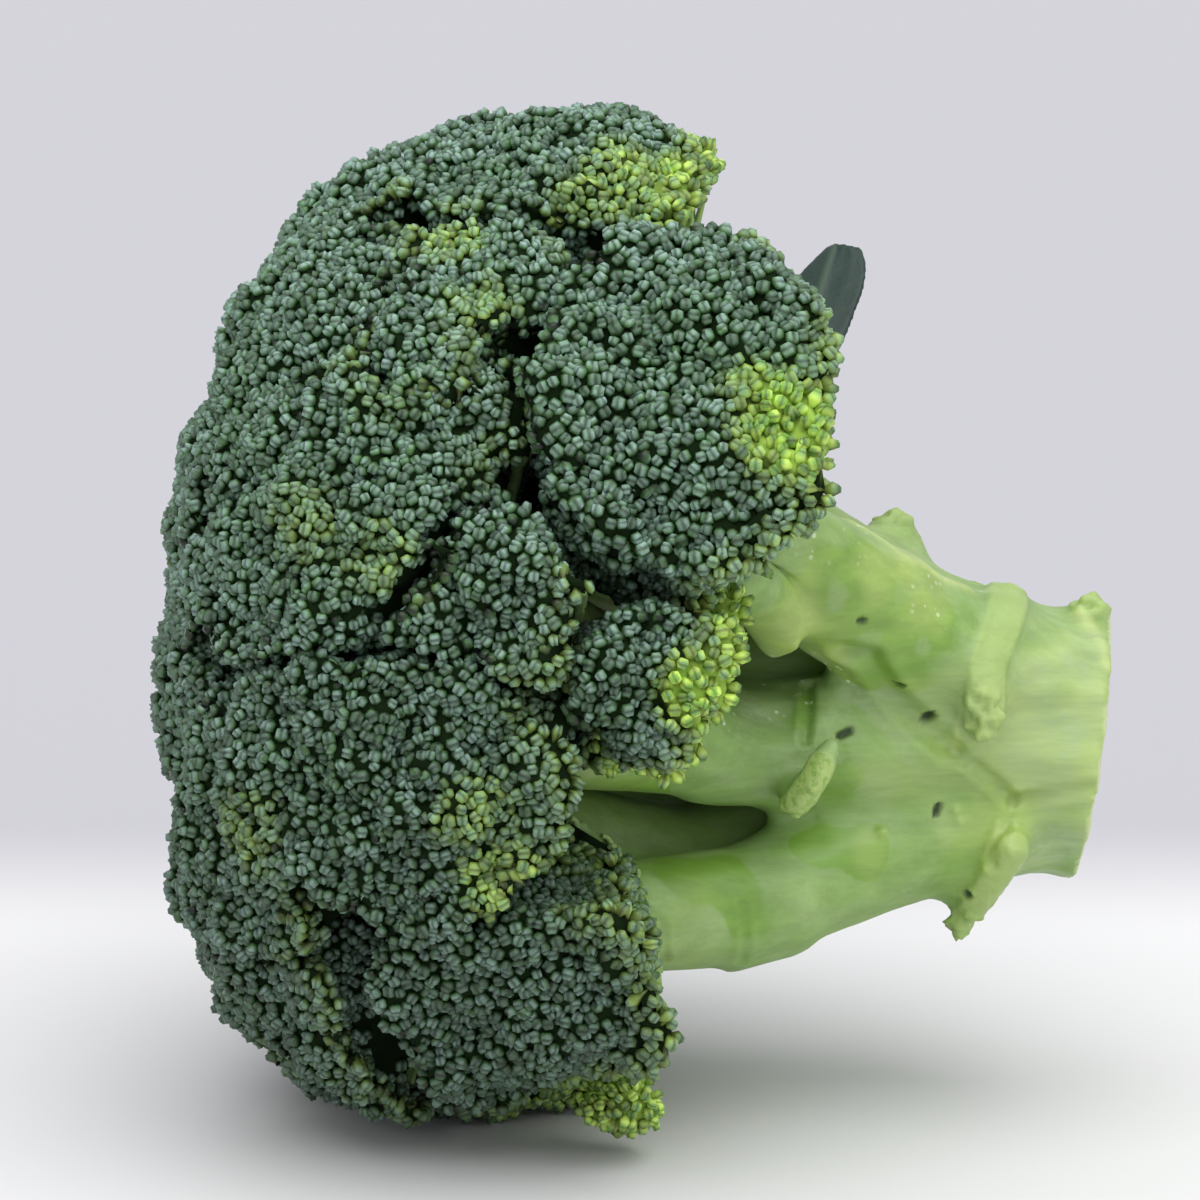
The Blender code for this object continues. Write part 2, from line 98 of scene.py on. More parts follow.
@dataclass(frozen=True)
class PlantFrame:
    """The plant's own axis, where it lies, and the pivot from which the crown spreads."""

    rise: float = 7.5
    cut_height: float = 60.5
    centre_along: float = 75.6
    centre_side: float = -0.5
    pivot: Place = (20.0, 9.5, 0.0)

    @property
    def axis(self) -> np.ndarray:
        """Direction from the cut to the crown."""
        turn = math.radians(self.rise)
        return np.array([-math.cos(turn), 0.0, math.sin(turn)])

    @property
    def up(self) -> np.ndarray:
        """Direction square to the axis, as near to straight up as it can be."""
        turn = math.radians(self.rise)
        return np.array([math.sin(turn), 0.0, math.cos(turn)])

    @property
    def front(self) -> np.ndarray:
        """Direction towards the viewer's side."""
        return np.array([0.0, -1.0, 0.0])

    @property
    def cut(self) -> np.ndarray:
        """World place of the middle of the cut, in millimetres."""
        sideways = self.centre_along * math.cos(math.radians(self.rise))
        return np.array([sideways, self.centre_side, self.cut_height])

    def place(self, spot: Place) -> np.ndarray:
        """World place, in metres, of a place on the plant.

        Args:
            spot: along, out and around.

        Returns:
            The world place.
        """
        along, out, around = spot
        turn = math.radians(around)
        side = math.cos(turn) * self.up + math.sin(turn) * self.front
        return (self.cut + along * self.axis + out * side) * MM

    def away(self, points: np.ndarray, spot: Place) -> np.ndarray:
        """Millimetres from each world point to a place on the plant."""
        return np.linalg.norm(points - self.place(spot), axis=1) / MM

    def outward(self, points: np.ndarray) -> np.ndarray:
        """Directions from the pivot to each world point."""
        spots = points - self.place(self.pivot)
        return spots / np.linalg.norm(spots, axis=1)[:, None]

    def read(self, points: np.ndarray) -> tuple[np.ndarray, np.ndarray, np.ndarray]:
        """Plant coordinates of world points.

        Args:
            points: rows of world places in metres.

        Returns:
            Along and out in millimetres, and around in degrees from 0 to 360.
        """
        spot = points / MM - self.cut
        upward = spot @ self.up
        forward = spot @ self.front
        around = np.degrees(np.arctan2(forward, upward)) % 360
        return spot @ self.axis, np.hypot(upward, forward), around


PLANT = PlantFrame()


class Wiring:
    """Adds nodes to a node tree and joins their sockets."""

    def __init__(self, tree: bpy.types.NodeTree) -> None:
        """Keeps the tree that the nodes go into."""
        self.tree = tree

    def add(self, kind: str, inputs: dict | None = None, **settings: object) -> bpy.types.Node:
        """A new node.

        Args:
            kind: the node's type.
            inputs: sockets by name or number, with the socket or the value that feeds each.
            settings: the node's own properties.

        Returns:
            The node.
        """
        node = self.tree.nodes.new(kind)
        for name, value in settings.items():
            setattr(node, name, value)
        for key, value in (inputs or {}).items():
            if isinstance(value, bpy.types.NodeSocket):
                self.tree.links.new(value, node.inputs[key])
            else:
                node.inputs[key].default_value = value
        return node

    def math(self, operation: str, *values: object) -> bpy.types.NodeSocket:
        """The result of a Math node on the values."""
        return self.add("ShaderNodeMath", dict(enumerate(values)), operation=operation).outputs[0]

    def times(self, first: object, second: object) -> bpy.types.NodeSocket:
        """The product of two values."""
        return self.math("MULTIPLY", first, second)

    def plus(self, first: object, second: object) -> bpy.types.NodeSocket:
        """The sum of two values."""
        return self.math("ADD", first, second)

    def vector(self, operation: str, *values: object) -> bpy.types.NodeSocket:
        """The vector that a Vector Math node makes of the values."""
        return self.add("ShaderNodeVectorMath", dict(enumerate(values)), operation=operation).outputs[0]

    def scaled(self, vector: object, factor: object) -> bpy.types.NodeSocket:
        """The vector times a number."""
        node = self.add("ShaderNodeVectorMath", {0: vector, "Scale": factor}, operation="SCALE")
        return node.outputs[0]

    def ramp(self, value: object, low: float, high: float, start: float = 0.0, end: float = 1.0
             ) -> bpy.types.NodeSocket:
        """A smooth rise of a value.

        Args:
            value: the socket to map.
            low: where the rise starts.
            high: where it ends.
            start: result at low.
            end: result at high.

        Returns:
            The mapped value.
        """
        inputs = {"Value": value, "From Min": low, "From Max": high, "To Min": start, "To Max": end}
        return self.add("ShaderNodeMapRange", inputs, interpolation_type="SMOOTHSTEP").outputs[0]

    def blend(self, factor: object, first: object, second: object, mode: str = "MIX"
              ) -> bpy.types.NodeSocket:
        """A mix of two colours.

        Args:
            factor: share of the second.
            first: colour at 0.
            second: colour at 1.
            mode: how the second is laid over the first.

        Returns:
            The mixed colour.
        """
        node = self.add("ShaderNodeMix", {0: factor, 6: first, 7: second}, data_type="RGBA", blend_type=mode)
        return node.outputs[2]

    def noise(self, vector: object, scale: object, detail: float = 3.0, distortion: float = 0.0
              ) -> bpy.types.NodeSocket:
        """Smooth noise from 0 to 1.

        Args:
            vector: where it is read.
            scale: repeats in a metre.
            detail: octaves.
            distortion: how far it is stirred.

        Returns:
            The noise.
        """
        inputs = {"Vector": vector, "Scale": scale, "Detail": detail, "Distortion": distortion}
        return self.add("ShaderNodeTexNoise", inputs).outputs[0]

    def attribute(self, name: str) -> bpy.types.NodeSocket:
        """A number stored on the mesh, for a material."""
        return self.add("ShaderNodeAttribute", attribute_name=name).outputs["Fac"]

    def field(self, name: str, kind: str = "FLOAT") -> bpy.types.NodeSocket:
        """A value stored on the geometry, for a geometry tree."""
        return self.add("GeometryNodeInputNamedAttribute", {"Name": name}, data_type=kind).outputs[0]

    def random(self, low: float, high: float, seed: object) -> bpy.types.NodeSocket:
        """A random number for each element."""
        node = self.add("FunctionNodeRandomValue", {"Seed": seed}, data_type="FLOAT")
        node.inputs[2].default_value = low
        node.inputs[3].default_value = high
        return node.outputs[1]


class GeometryTree(Wiring):
    """A geometry tree with named inputs, applied to an object as a modifier."""

    def __init__(self, name: str) -> None:
        """Starts a tree that takes and gives geometry."""
        super().__init__(bpy.data.node_groups.new(name, "GeometryNodeTree"))
        self.tree.interface.new_socket("Geometry", in_out="INPUT", socket_type="NodeSocketGeometry")
        self.tree.interface.new_socket("Geometry", in_out="OUTPUT", socket_type="NodeSocketGeometry")
        self.entry = self.tree.nodes.new("NodeGroupInput")
        self.exit = self.tree.nodes.new("NodeGroupOutput")

    def parameter(self, name: str, kind: str) -> bpy.types.NodeSocket:
        """A new named input of the tree."""
        self.tree.interface.new_socket(name, in_out="INPUT", socket_type=f"NodeSocket{kind}")
        return self.entry.outputs[name]

    def store(self, geometry: object, name: str, value: object, domain: str = "POINT", kind: str = "FLOAT"
              ) -> bpy.types.NodeSocket:
        """The geometry with a value stored on it.

        Args:
            geometry: the geometry socket.
            name: name of the attribute.
            value: what is stored.
            domain: the elements that hold it.
            kind: its data type.

        Returns:
            The geometry socket.
        """
        inputs = {"Geometry": geometry, "Name": name, "Value": value}
        node = self.add("GeometryNodeStoreNamedAttribute", inputs, data_type=kind, domain=domain)
        return node.outputs[0]

    def finish(self, geometry: object, material: object) -> None:
        """Realizes the instances, sets the material and puts the result out."""
        real = self.add("GeometryNodeRealizeInstances", {"Geometry": geometry}).outputs[0]
        dressed = self.add("GeometryNodeSetMaterial", {"Geometry": real, "Material": material}).outputs[0]
        self.tree.links.new(dressed, self.exit.inputs[0])

    def apply(self, obj: bpy.types.Object, values: dict[str, object], name: str) -> bpy.types.Object:
        """A plain mesh object of what the tree makes of an object.

        Args:
            obj: the object it starts from, left as it was.
            values: the tree's inputs by name.
            name: name of the new object.

        Returns:
            The new object, at the origin.
        """
        modifier = obj.modifiers.new(self.tree.name, "NODES")
        modifier.node_group = self.tree
        for item in self.tree.interface.items_tree:
            if item.item_type == "SOCKET" and item.in_out == "INPUT" and item.name in values:
                modifier[item.identifier] = values[item.name]
        mesh = evaluated_mesh(obj)
        obj.modifiers.remove(modifier)
        return new_object(name, mesh)


def new_object(name: str, mesh: bpy.types.Mesh) -> bpy.types.Object:
    """An object of the mesh, linked to the scene."""
    mesh.name = name
    obj = bpy.data.objects.new(name, mesh)
    bpy.context.scene.collection.objects.link(obj)
    return obj


def evaluated_mesh(obj: bpy.types.Object) -> bpy.types.Mesh:
    """The object's mesh with its modifiers applied."""
    bpy.context.view_layer.update()
    graph = bpy.context.evaluated_depsgraph_get()
    done = obj.evaluated_get(graph)
    return bpy.data.meshes.new_from_object(done, preserve_all_data_layers=True, depsgraph=graph)


def apply_modifiers(obj: bpy.types.Object) -> None:
    """Replaces the object's mesh by what its modifiers make of it."""
    mesh = evaluated_mesh(obj)
    obj.modifiers.clear()
    obj.data = mesh


def merged_copy(node: str, name: str) -> bpy.types.Object:
    """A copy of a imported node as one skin.

    Args:
        node: the node's name.
        name: name of the copy.

    Returns:
        The copy, with its doubles merged and no material.
    """
    builder = bmesh.new()
    builder.from_mesh(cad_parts[node].data)
    bmesh.ops.remove_doubles(builder, verts=builder.verts[:], dist=0.01 * MM)
    mesh = bpy.data.meshes.new(name)
    builder.to_mesh(mesh)
    builder.free()
    return new_object(name, mesh)


def remeshed_copy(node: str, name: str, voxel: float, rounds: int, added: list[bpy.types.Mesh] | None = None
                  ) -> bpy.types.Object:
    """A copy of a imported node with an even, softened skin.

    Args:
        node: the node's name.
        name: name of the copy.
        voxel: size of its faces in millimetres.
        rounds: rounds of smoothing.
        added: closed meshes that are fused into it.

    Returns:
        The copy.
    """
    copy = merged_copy(node, name)
    if added:
        builder = bmesh.new()
        for mesh in [copy.data] + added:
            builder.from_mesh(mesh)
        builder.to_mesh(copy.data)
        builder.free()
    remesh = copy.modifiers.new("Even", "REMESH")
    remesh.mode = "VOXEL"
    remesh.voxel_size = voxel * MM
    soften = copy.modifiers.new("Soften", "SMOOTH")
    soften.factor = 0.5
    soften.iterations = rounds
    apply_modifiers(copy)
    return copy


def read_points(mesh: bpy.types.Mesh) -> np.ndarray:
    """The mesh's points as rows."""
    points = np.zeros(len(mesh.vertices) * 3)
    mesh.vertices.foreach_get("co", points)
    return points.reshape(-1, 3)


def read_normals(mesh: bpy.types.Mesh) -> np.ndarray:
    """The normals at the mesh's points as rows."""
    normals = np.zeros(len(mesh.vertices) * 3)
    mesh.vertices.foreach_get("normal", normals)
    return normals.reshape(-1, 3)


def write_points(mesh: bpy.types.Mesh, points: np.ndarray) -> None:
    """Moves the mesh's points."""
    mesh.vertices.foreach_set("co", points.ravel())
    mesh.update()


def write_attribute(mesh: bpy.types.Mesh, name: str, values: np.ndarray) -> None:
    """Stores one number, or one vector, for each point of the mesh."""
    flat = values.ndim == 1
    attribute = mesh.attributes.new(name, "FLOAT" if flat else "FLOAT_VECTOR", "POINT")
    attribute.data.foreach_set("value" if flat else "vector", values.astype(np.float32).ravel())


def noise_at(points: np.ndarray, size: float, shift: float = 0.0) -> np.ndarray:
    """Smooth noise from about -1 to 1.

    Args:
        points: rows of places in metres.
        size: size of its swells in millimetres.
        shift: moves it, so that two layers differ.

    Returns:
        One number for each place.
    """
    spots = points / (size * MM) + shift
    return np.array([noise.noise(Vector(spot)) for spot in spots])


def point_tree(points: np.ndarray) -> KDTree:
    """A search tree of the points."""
    tree = KDTree(len(points))
    for index, point in enumerate(points):
        tree.insert(Vector(point), index)
    tree.balance()
    return tree


def triangle_count(obj: bpy.types.Object) -> int:
    """How many triangles the object's faces make."""
    return sum(len(polygon.vertices) - 2 for polygon in obj.data.polygons)


def hand_over(obj: bpy.types.Object, nodes: list[str]) -> None:
    """Makes a finished piece ride on the body and stand for its nodes, and reports it.

    Args:
        obj: the piece.
        nodes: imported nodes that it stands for.
    """
    obj.data.shade_smooth()
    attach(obj, BODY)
    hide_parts(*nodes)
    LOG.info("%s: %d triangles", obj.name, triangle_count(obj))


@dataclass(frozen=True)
class WaxBloom:
    """The pale bloom of wax on a cabbage plant's skin, rubbed off in patches."""

    name: str = "wax_bloom"

    def build(self) -> bpy.types.NodeTree:
        """The shader group, which takes a skin colour and gives it back with the bloom on it."""
        found = bpy.data.node_groups.get(self.name)
        if found:
            return found
        tree = bpy.data.node_groups.new(self.name, "ShaderNodeTree")
        for name, kind in (("Vector", "Vector"), ("Colour", "Color"), ("Bloom", "Color"),
                           ("Amount", "Float"), ("Scale", "Float"), ("Rubbed", "Float")):
            tree.interface.new_socket(name, in_out="INPUT", socket_type=f"NodeSocket{kind}")
        for name, kind in (("Colour", "Color"), ("Mask", "Float"), ("Roughness", "Float")):
            tree.interface.new_socket(name, in_out="OUTPUT", socket_type=f"NodeSocket{kind}")
        wiring = Wiring(tree)
        entry = tree.nodes.new("NodeGroupInput").outputs
        leave = tree.nodes.new("NodeGroupOutput").inputs
        patches = wiring.noise(entry["Vector"], entry["Scale"], 4.0, 0.8)
        worn = wiring.plus(wiring.times(entry["Rubbed"], -0.5), patches)
        kept = wiring.ramp(worn, 0.30, 0.45)
        cloud = wiring.noise(entry["Vector"], wiring.times(entry["Scale"], 3.1), 5.0)
        grain = wiring.noise(entry["Vector"], wiring.times(entry["Scale"], 22.0), 2.0)
        thinned = wiring.ramp(cloud, 0.25, 0.75, 0.35)
        soft = wiring.times(thinned, wiring.ramp(grain, 0.3, 0.7, 0.75))
        mask = wiring.times(wiring.times(kept, soft), entry["Amount"])
        tree.links.new(wiring.blend(mask, entry["Colour"], entry["Bloom"]), leave["Colour"])
        tree.links.new(mask, leave["Mask"])
        tree.links.new(wiring.ramp(mask, 0.0, 0.8, 0.36, 0.62), leave["Roughness"])
        return tree


class Finish:
    """A material that is being wired."""

    def __init__(self, name: str, **constants: object) -> None:
        """Starts a Principled material.

        Args:
            name: its name.
            constants: values of the shader's own sockets, with underscores for spaces.
        """
        self.material = bpy.data.materials.new(name)
        self.material.use_nodes = True
        self.shader = self.material.node_tree.nodes["Principled BSDF"]
        for key, value in constants.items():
            self.shader.inputs[key.replace("_", " ")].default_value = value
        self.wiring = Wiring(self.material.node_tree)
        self.spot = self.wiring.add("ShaderNodeTexCoord").outputs["Object"]

    def wax(self, colour: object, bloom: Colour, amount: object, scale: float, rubbed: object = 0.0
            ) -> bpy.types.Node:
        """A wax bloom over a colour.

        Args:
            colour: the skin under it.
            bloom: colour of the wax.
            amount: how thick it lies.
            scale: patches in a metre.
            rubbed: where it is rubbed off.

        Returns:
            The group node, with Colour, Mask and Roughness.
        """
        inputs = {"Vector": self.spot, "Colour": colour, "Bloom": rgba(bloom), "Amount": amount,
                  "Scale": scale, "Rubbed": rubbed}
        node = self.wiring.tree.nodes.new("ShaderNodeGroup")
        node.node_tree = WaxBloom().build()
        for key, value in inputs.items():
            if isinstance(value, bpy.types.NodeSocket):
                self.wiring.tree.links.new(value, node.inputs[key])
            else:
                node.inputs[key].default_value = value
        return node

    def close(self, colour: object, roughness: object = None, height: object = None, depth: float = 0.1
              ) -> bpy.types.Material:
        """Joins the colour, roughness and height to the shader.

        Args:
            colour: base colour.
            roughness: roughness socket, or None to leave the shader's own.
            height: height socket, or None for no bump.
            depth: millimetres of relief at a height of one.

        Returns:
            The material.
        """
        links = self.wiring.tree.links
        links.new(colour, self.shader.inputs["Base Color"])
        if roughness is not None:
            links.new(roughness, self.shader.inputs["Roughness"])
        if height is not None:
            inputs = {"Height": height, "Distance": depth * MM, "Strength": 1.0}
            bump = self.wiring.add("ShaderNodeBump", inputs)
            links.new(bump.outputs[0], self.shader.inputs["Normal"])
        return self.material


@dataclass(frozen=True)
class BudFinish:
    """The skin of the closed buds: blue-grey wax on the tips, green between, yellow-green where young, with
    painted shade at the roots and seams and lower down, and painted light higher up.
    """

    name: str = "bud_skin"
    tip: Colour = (0.280, 0.395, 0.375)
    side: Colour = (0.056, 0.140, 0.038)
    # Near-black painted shade at the roots of the buds, in the gaps between them.
    deep: Colour = (0.004, 0.014, 0.003)
    young_tip: Colour = (0.19, 0.40, 0.06)
    young_side: Colour = (0.60, 0.82, 0.15)
    # Heights in metres over which mature buds go from painted shade near the floor to painted light higher
    # up.
    low: float = 0.02
    high: float = 0.15
    area_scale: float = 38.0
    wax_scale: float = 420.0
    grain_scale: float = 2600.0
    grain_depth: float = 0.05

    def build(self) -> bpy.types.Material:
        """The material, which reads tip, crease, tint and young from the buds."""
        finish = Finish(self.name, Specular_IOR_Level=0.42)
        wiring = finish.wiring
        tip = wiring.attribute("tip")
        tint = wiring.attribute("tint")
        young = wiring.attribute("young")
        crease = wiring.attribute("crease")
        area = wiring.noise(finish.spot, self.area_scale, 2.0)
        # Painted shade: each bud darkens from its side green down to near-black at its root.
        body = wiring.blend(wiring.ramp(tip, 0.1, 0.55), rgba(self.deep), rgba(self.side))
        in_area = wiring.ramp(area, 0.3, 0.6, 0.7)
        dusted = wiring.times(in_area, wiring.ramp(tint, 0.1, 0.7, 0.65))
        waxed = wiring.times(wiring.ramp(tip, 0.35, 0.8), dusted)
        old = finish.wax(body, self.tip, waxed, self.wax_scale)
        fresh = wiring.blend(wiring.ramp(tip, 0.45, 0.95), rgba(self.young_side), rgba(self.young_tip))
        # Painted shade at the roots of the young buds too.
        fresh = wiring.blend(wiring.ramp(tip, 0.0, 0.2, 0.45, 0.0), fresh, rgba(self.deep))
        skin = wiring.blend(young, old.outputs["Colour"], fresh)
        height = wiring.add("ShaderNodeSeparateXYZ", {0: finish.spot}).outputs["Z"]
        mature = wiring.ramp(young, 0.0, 1.0, 1.0, 0.0)
        # Painted shade and light by height: mature buds are darker near the floor and lighter higher up.
        height_shade = wiring.times(wiring.ramp(height, self.low, self.high, -0.28, 0.12), mature)
        varied = wiring.ramp(tint, 0.0, 1.0, 0.66, 1.25)
        level = wiring.times(varied, wiring.plus(height_shade, 1.0))
        # Painted shade: the seams across each bud's tip and its root darken, by up to 60 percent.
        shaded = wiring.times(level, wiring.ramp(crease, 0.25, 1.0, 1.0, 0.4))
        tone = wiring.add("ShaderNodeCombineColor", {0: shaded, 1: shaded, 2: shaded}).outputs[0]
        colour = wiring.blend(1.0, skin, tone, "MULTIPLY")
        grain = wiring.noise(finish.spot, self.grain_scale, 3.0)
        return finish.close(colour, old.outputs["Roughness"], grain, self.grain_depth)


@dataclass(frozen=True)
class StemFinish:
    """The pedicels, and the heart under the buds, painted near-black as the shade in the gaps between buds.
    """

    name: str = "pedicel_skin"
    # Near-black painted shade for the heart where it shows between the buds.
    heart: Colour = (0.005, 0.014, 0.003)
    root: Colour = (0.20, 0.34, 0.09)
    end: Colour = (0.13, 0.27, 0.05)
    young: Colour = (0.36, 0.52, 0.13)
    young_heart: Colour = (0.34, 0.53, 0.09)
    bloom: Colour = (0.42, 0.52, 0.33)
    bloom_amount: float = 0.4
    bloom_scale: float = 160.0
    grain_scale: float = 900.0
    grain_depth: float = 0.08

    def build(self) -> bpy.types.Material:
        """The material, which reads heart, reach and young from the stems."""
        finish = Finish(self.name, Specular_IOR_Level=0.12)
        wiring = finish.wiring
        stem = wiring.blend(wiring.attribute("reach"), rgba(self.root), rgba(self.end))
        stem = wiring.blend(wiring.attribute("young"), stem, rgba(self.young))
        waxed = finish.wax(stem, self.bloom, self.bloom_amount, self.bloom_scale)
        fresh = wiring.ramp(wiring.attribute("young"), 0.45, 0.95)
        heart = wiring.blend(fresh, rgba(self.heart), rgba(self.young_heart))
        # Painted shade: the heart is painted near-black, a paler yellow-green where young.
        colour = wiring.blend(wiring.attribute("heart"), waxed.outputs["Colour"], heart)
        roughness = wiring.ramp(wiring.attribute("heart"), 0.0, 1.0, 0.5, 0.95)
        grain = wiring.noise(finish.spot, self.grain_scale, 3.0)
        return finish.close(colour, roughness, grain, self.grain_depth)


@dataclass(frozen=True)
class StalkFinish:
    """The stalk's skin: green flesh under a pale, rubbed bloom, with scars, pores painted near-black as
    shade, pale painted highlights along its ribs and on the arch, and a cut end.
    """

    name: str = "stalk_skin"
    green: Colour = (0.180, 0.335, 0.048)
    pit: Colour = (0.26, 0.42, 0.09)
    yellow: Colour = (0.45, 0.55, 0.165)
    bloom: Colour = (0.345, 0.460, 0.225)
    scar: Colour = (0.37, 0.50, 0.155)
    # Near-black painted shade inside the pores.
    pore: Colour = (0.02, 0.05, 0.008)
    cut: Colour = (0.52, 0.60, 0.30)
    pith: Colour = (0.60, 0.67, 0.40)
    speck: Colour = (0.74, 0.79, 0.60)
    grain_stretch: float = 0.14
    swell_scale: float = 26.0
    streak_scale: float = 340.0
    fibre_scale: float = 1300.0
    bloom_scale: float = 46.0
    speck_scale: float = 620.0
    crowd_scale: float = 60.0
    pit_scale: float = 1000.0
    relief_depth: float = 0.3

    def build(self) -> bpy.types.Material:
        """The material, which reads scar, pore, cut, pith, pale, rubbed, waxy and specked from the stalk."""
        finish = Finish(self.name, Specular_IOR_Level=0.5, Subsurface_Weight=0.2, Subsurface_Scale=0.005)
        finish.shader.inputs["Subsurface Radius"].default_value = (0.8, 1.0, 0.35)
        wiring = finish.wiring
        inputs = {"Vector": finish.spot, "Rotation": (0.0, math.radians(PLANT.rise), 0.0),
                  "Scale": (self.grain_stretch, 1.0, 1.0)}
        grain = wiring.add("ShaderNodeMapping", inputs, vector_type="POINT").outputs[0]
        swell = wiring.noise(finish.spot, self.swell_scale, 2.0)
        streak = wiring.noise(grain, self.streak_scale, 4.0)
        fibre = wiring.noise(grain, self.fibre_scale, 3.0)
        # pale yellows the flesh; along the ribs and in the patch on the arch it is a painted highlight.
        pale = wiring.plus(wiring.attribute("pale"), wiring.ramp(swell, 0.35, 0.7, -0.15, 0.35))
        flesh = wiring.blend(pale, rgba(self.green), rgba(self.yellow))
        amount = wiring.plus(wiring.ramp(swell, 0.3, 0.7, 0.5, 0.8), wiring.attribute("waxy"))
        skin = finish.wax(flesh, self.bloom, amount, self.bloom_scale, wiring.attribute("rubbed"))
        streaked = wiring.ramp(streak, 0.3, 0.7, 0.9, 1.08)
        level = wiring.times(streaked, wiring.ramp(fibre, 0.3, 0.7, 0.96, 1.03))
        tone = wiring.add("ShaderNodeCombineColor", {0: level, 1: level, 2: level}).outputs[0]
        skin_colour = wiring.blend(1.0, skin.outputs["Colour"], tone, "MULTIPLY")
        inputs = {"Vector": finish.spot, "Scale": self.speck_scale}
        specks = wiring.add("ShaderNodeTexVoronoi", inputs, feature="F1")
        chosen = wiring.math("GREATER_THAN", specks.outputs["Color"], 0.5)
        dots = wiring.times(wiring.ramp(specks.outputs["Distance"], 0.32, 0.18), chosen)
        crowd = wiring.ramp(wiring.noise(finish.spot, self.crowd_scale, 3.0), 0.42, 0.56)
        dots = wiring.times(dots, wiring.times(crowd, wiring.attribute("specked")))
        colour = wiring.blend(dots, skin_colour, rgba(self.speck))
        pits = wiring.noise(finish.spot, self.pit_scale, 4.0)
        torn = wiring.ramp(wiring.attribute("scar"), 0.7, 0.95)
        pitted = wiring.times(wiring.ramp(pits, 0.5, 0.4), torn)
        scar = wiring.blend(pitted, rgba(self.scar), rgba(self.pit))
        colour = wiring.blend(wiring.attribute("scar"), colour, scar)
        flesh_cut = wiring.blend(wiring.attribute("pith"), rgba(self.cut), rgba(self.pith))
        colour = wiring.blend(wiring.attribute("cut"), colour, flesh_cut)
        # Painted shade: the pores are painted near-black.
        colour = wiring.blend(wiring.attribute("pore"), colour, rgba(self.pore))
        relief = wiring.times(streak, 0.5)
        relief = wiring.plus(relief, wiring.times(fibre, 0.18))
        rough = wiring.times(pits, wiring.attribute("scar"))
        relief = wiring.plus(relief, wiring.times(rough, 0.9))
        return finish.close(colour, skin.outputs["Roughness"], relief, self.relief_depth)


@dataclass(frozen=True)
class LeafFinish:
    """The small leaves: dark and waxy with a pale midrib."""

    name: str = "leaf_skin"
    blade: Colour = (0.010, 0.030, 0.022)
    bloom: Colour = (0.045, 0.080, 0.065)
    rib: Colour = (0.05, 0.095, 0.055)
    bloom_amount: float = 0.35
    bloom_scale: float = 60.0
    grain_scale: float = 1500.0
    grain_depth: float = 0.06

    def build(self) -> bpy.types.Material:
        """The material, which reads rib from the leaf."""
        finish = Finish(self.name, Specular_IOR_Level=0.3)
        wiring = finish.wiring
        veined = wiring.blend(wiring.attribute("rib"), rgba(self.blade), rgba(self.rib))
        waxed = finish.wax(veined, self.bloom, self.bloom_amount, self.bloom_scale)
        grain = wiring.noise(finish.spot, self.grain_scale, 3.0)
        return finish.close(waxed.outputs["Colour"], waxed.outputs["Roughness"], grain, self.grain_depth)


@dataclass(frozen=True)
class FloorFinish:
    """The pale surface, a touch cooler behind. Depths are in metres."""

    name: str = "floor_white"
    near: Colour = (0.74, 0.74, 0.733)
    behind: Colour = (0.485, 0.48, 0.508)
    near_depth: float = 0.12
    behind_depth: float = 0.24

    def build(self) -> bpy.types.Material:
        """The material, which turns from near to behind with the depth of the floor."""
        finish = Finish(self.name, Roughness=0.6, Specular_IOR_Level=0.2)
        depth = finish.wiring.add("ShaderNodeSeparateXYZ", {0: finish.spot}).outputs["Y"]
        share = finish.wiring.ramp(depth, self.near_depth, self.behind_depth)
        return finish.close(finish.wiring.blend(share, rgba(self.near), rgba(self.behind)))


class BudShape(Enum):
    """The forms of a bud, as rings of (height, radius)."""

    ROUND = ((0.35, 1.14), (1.25, 0.72))
    OVAL = ((0.45, 1.06), (1.52, 0.60))
    FLAT = ((0.25, 1.20), (1.05, 0.78))
    HANGING = ((-1.1, 0.36), (0.4, 1.00), (1.45, 0.60))


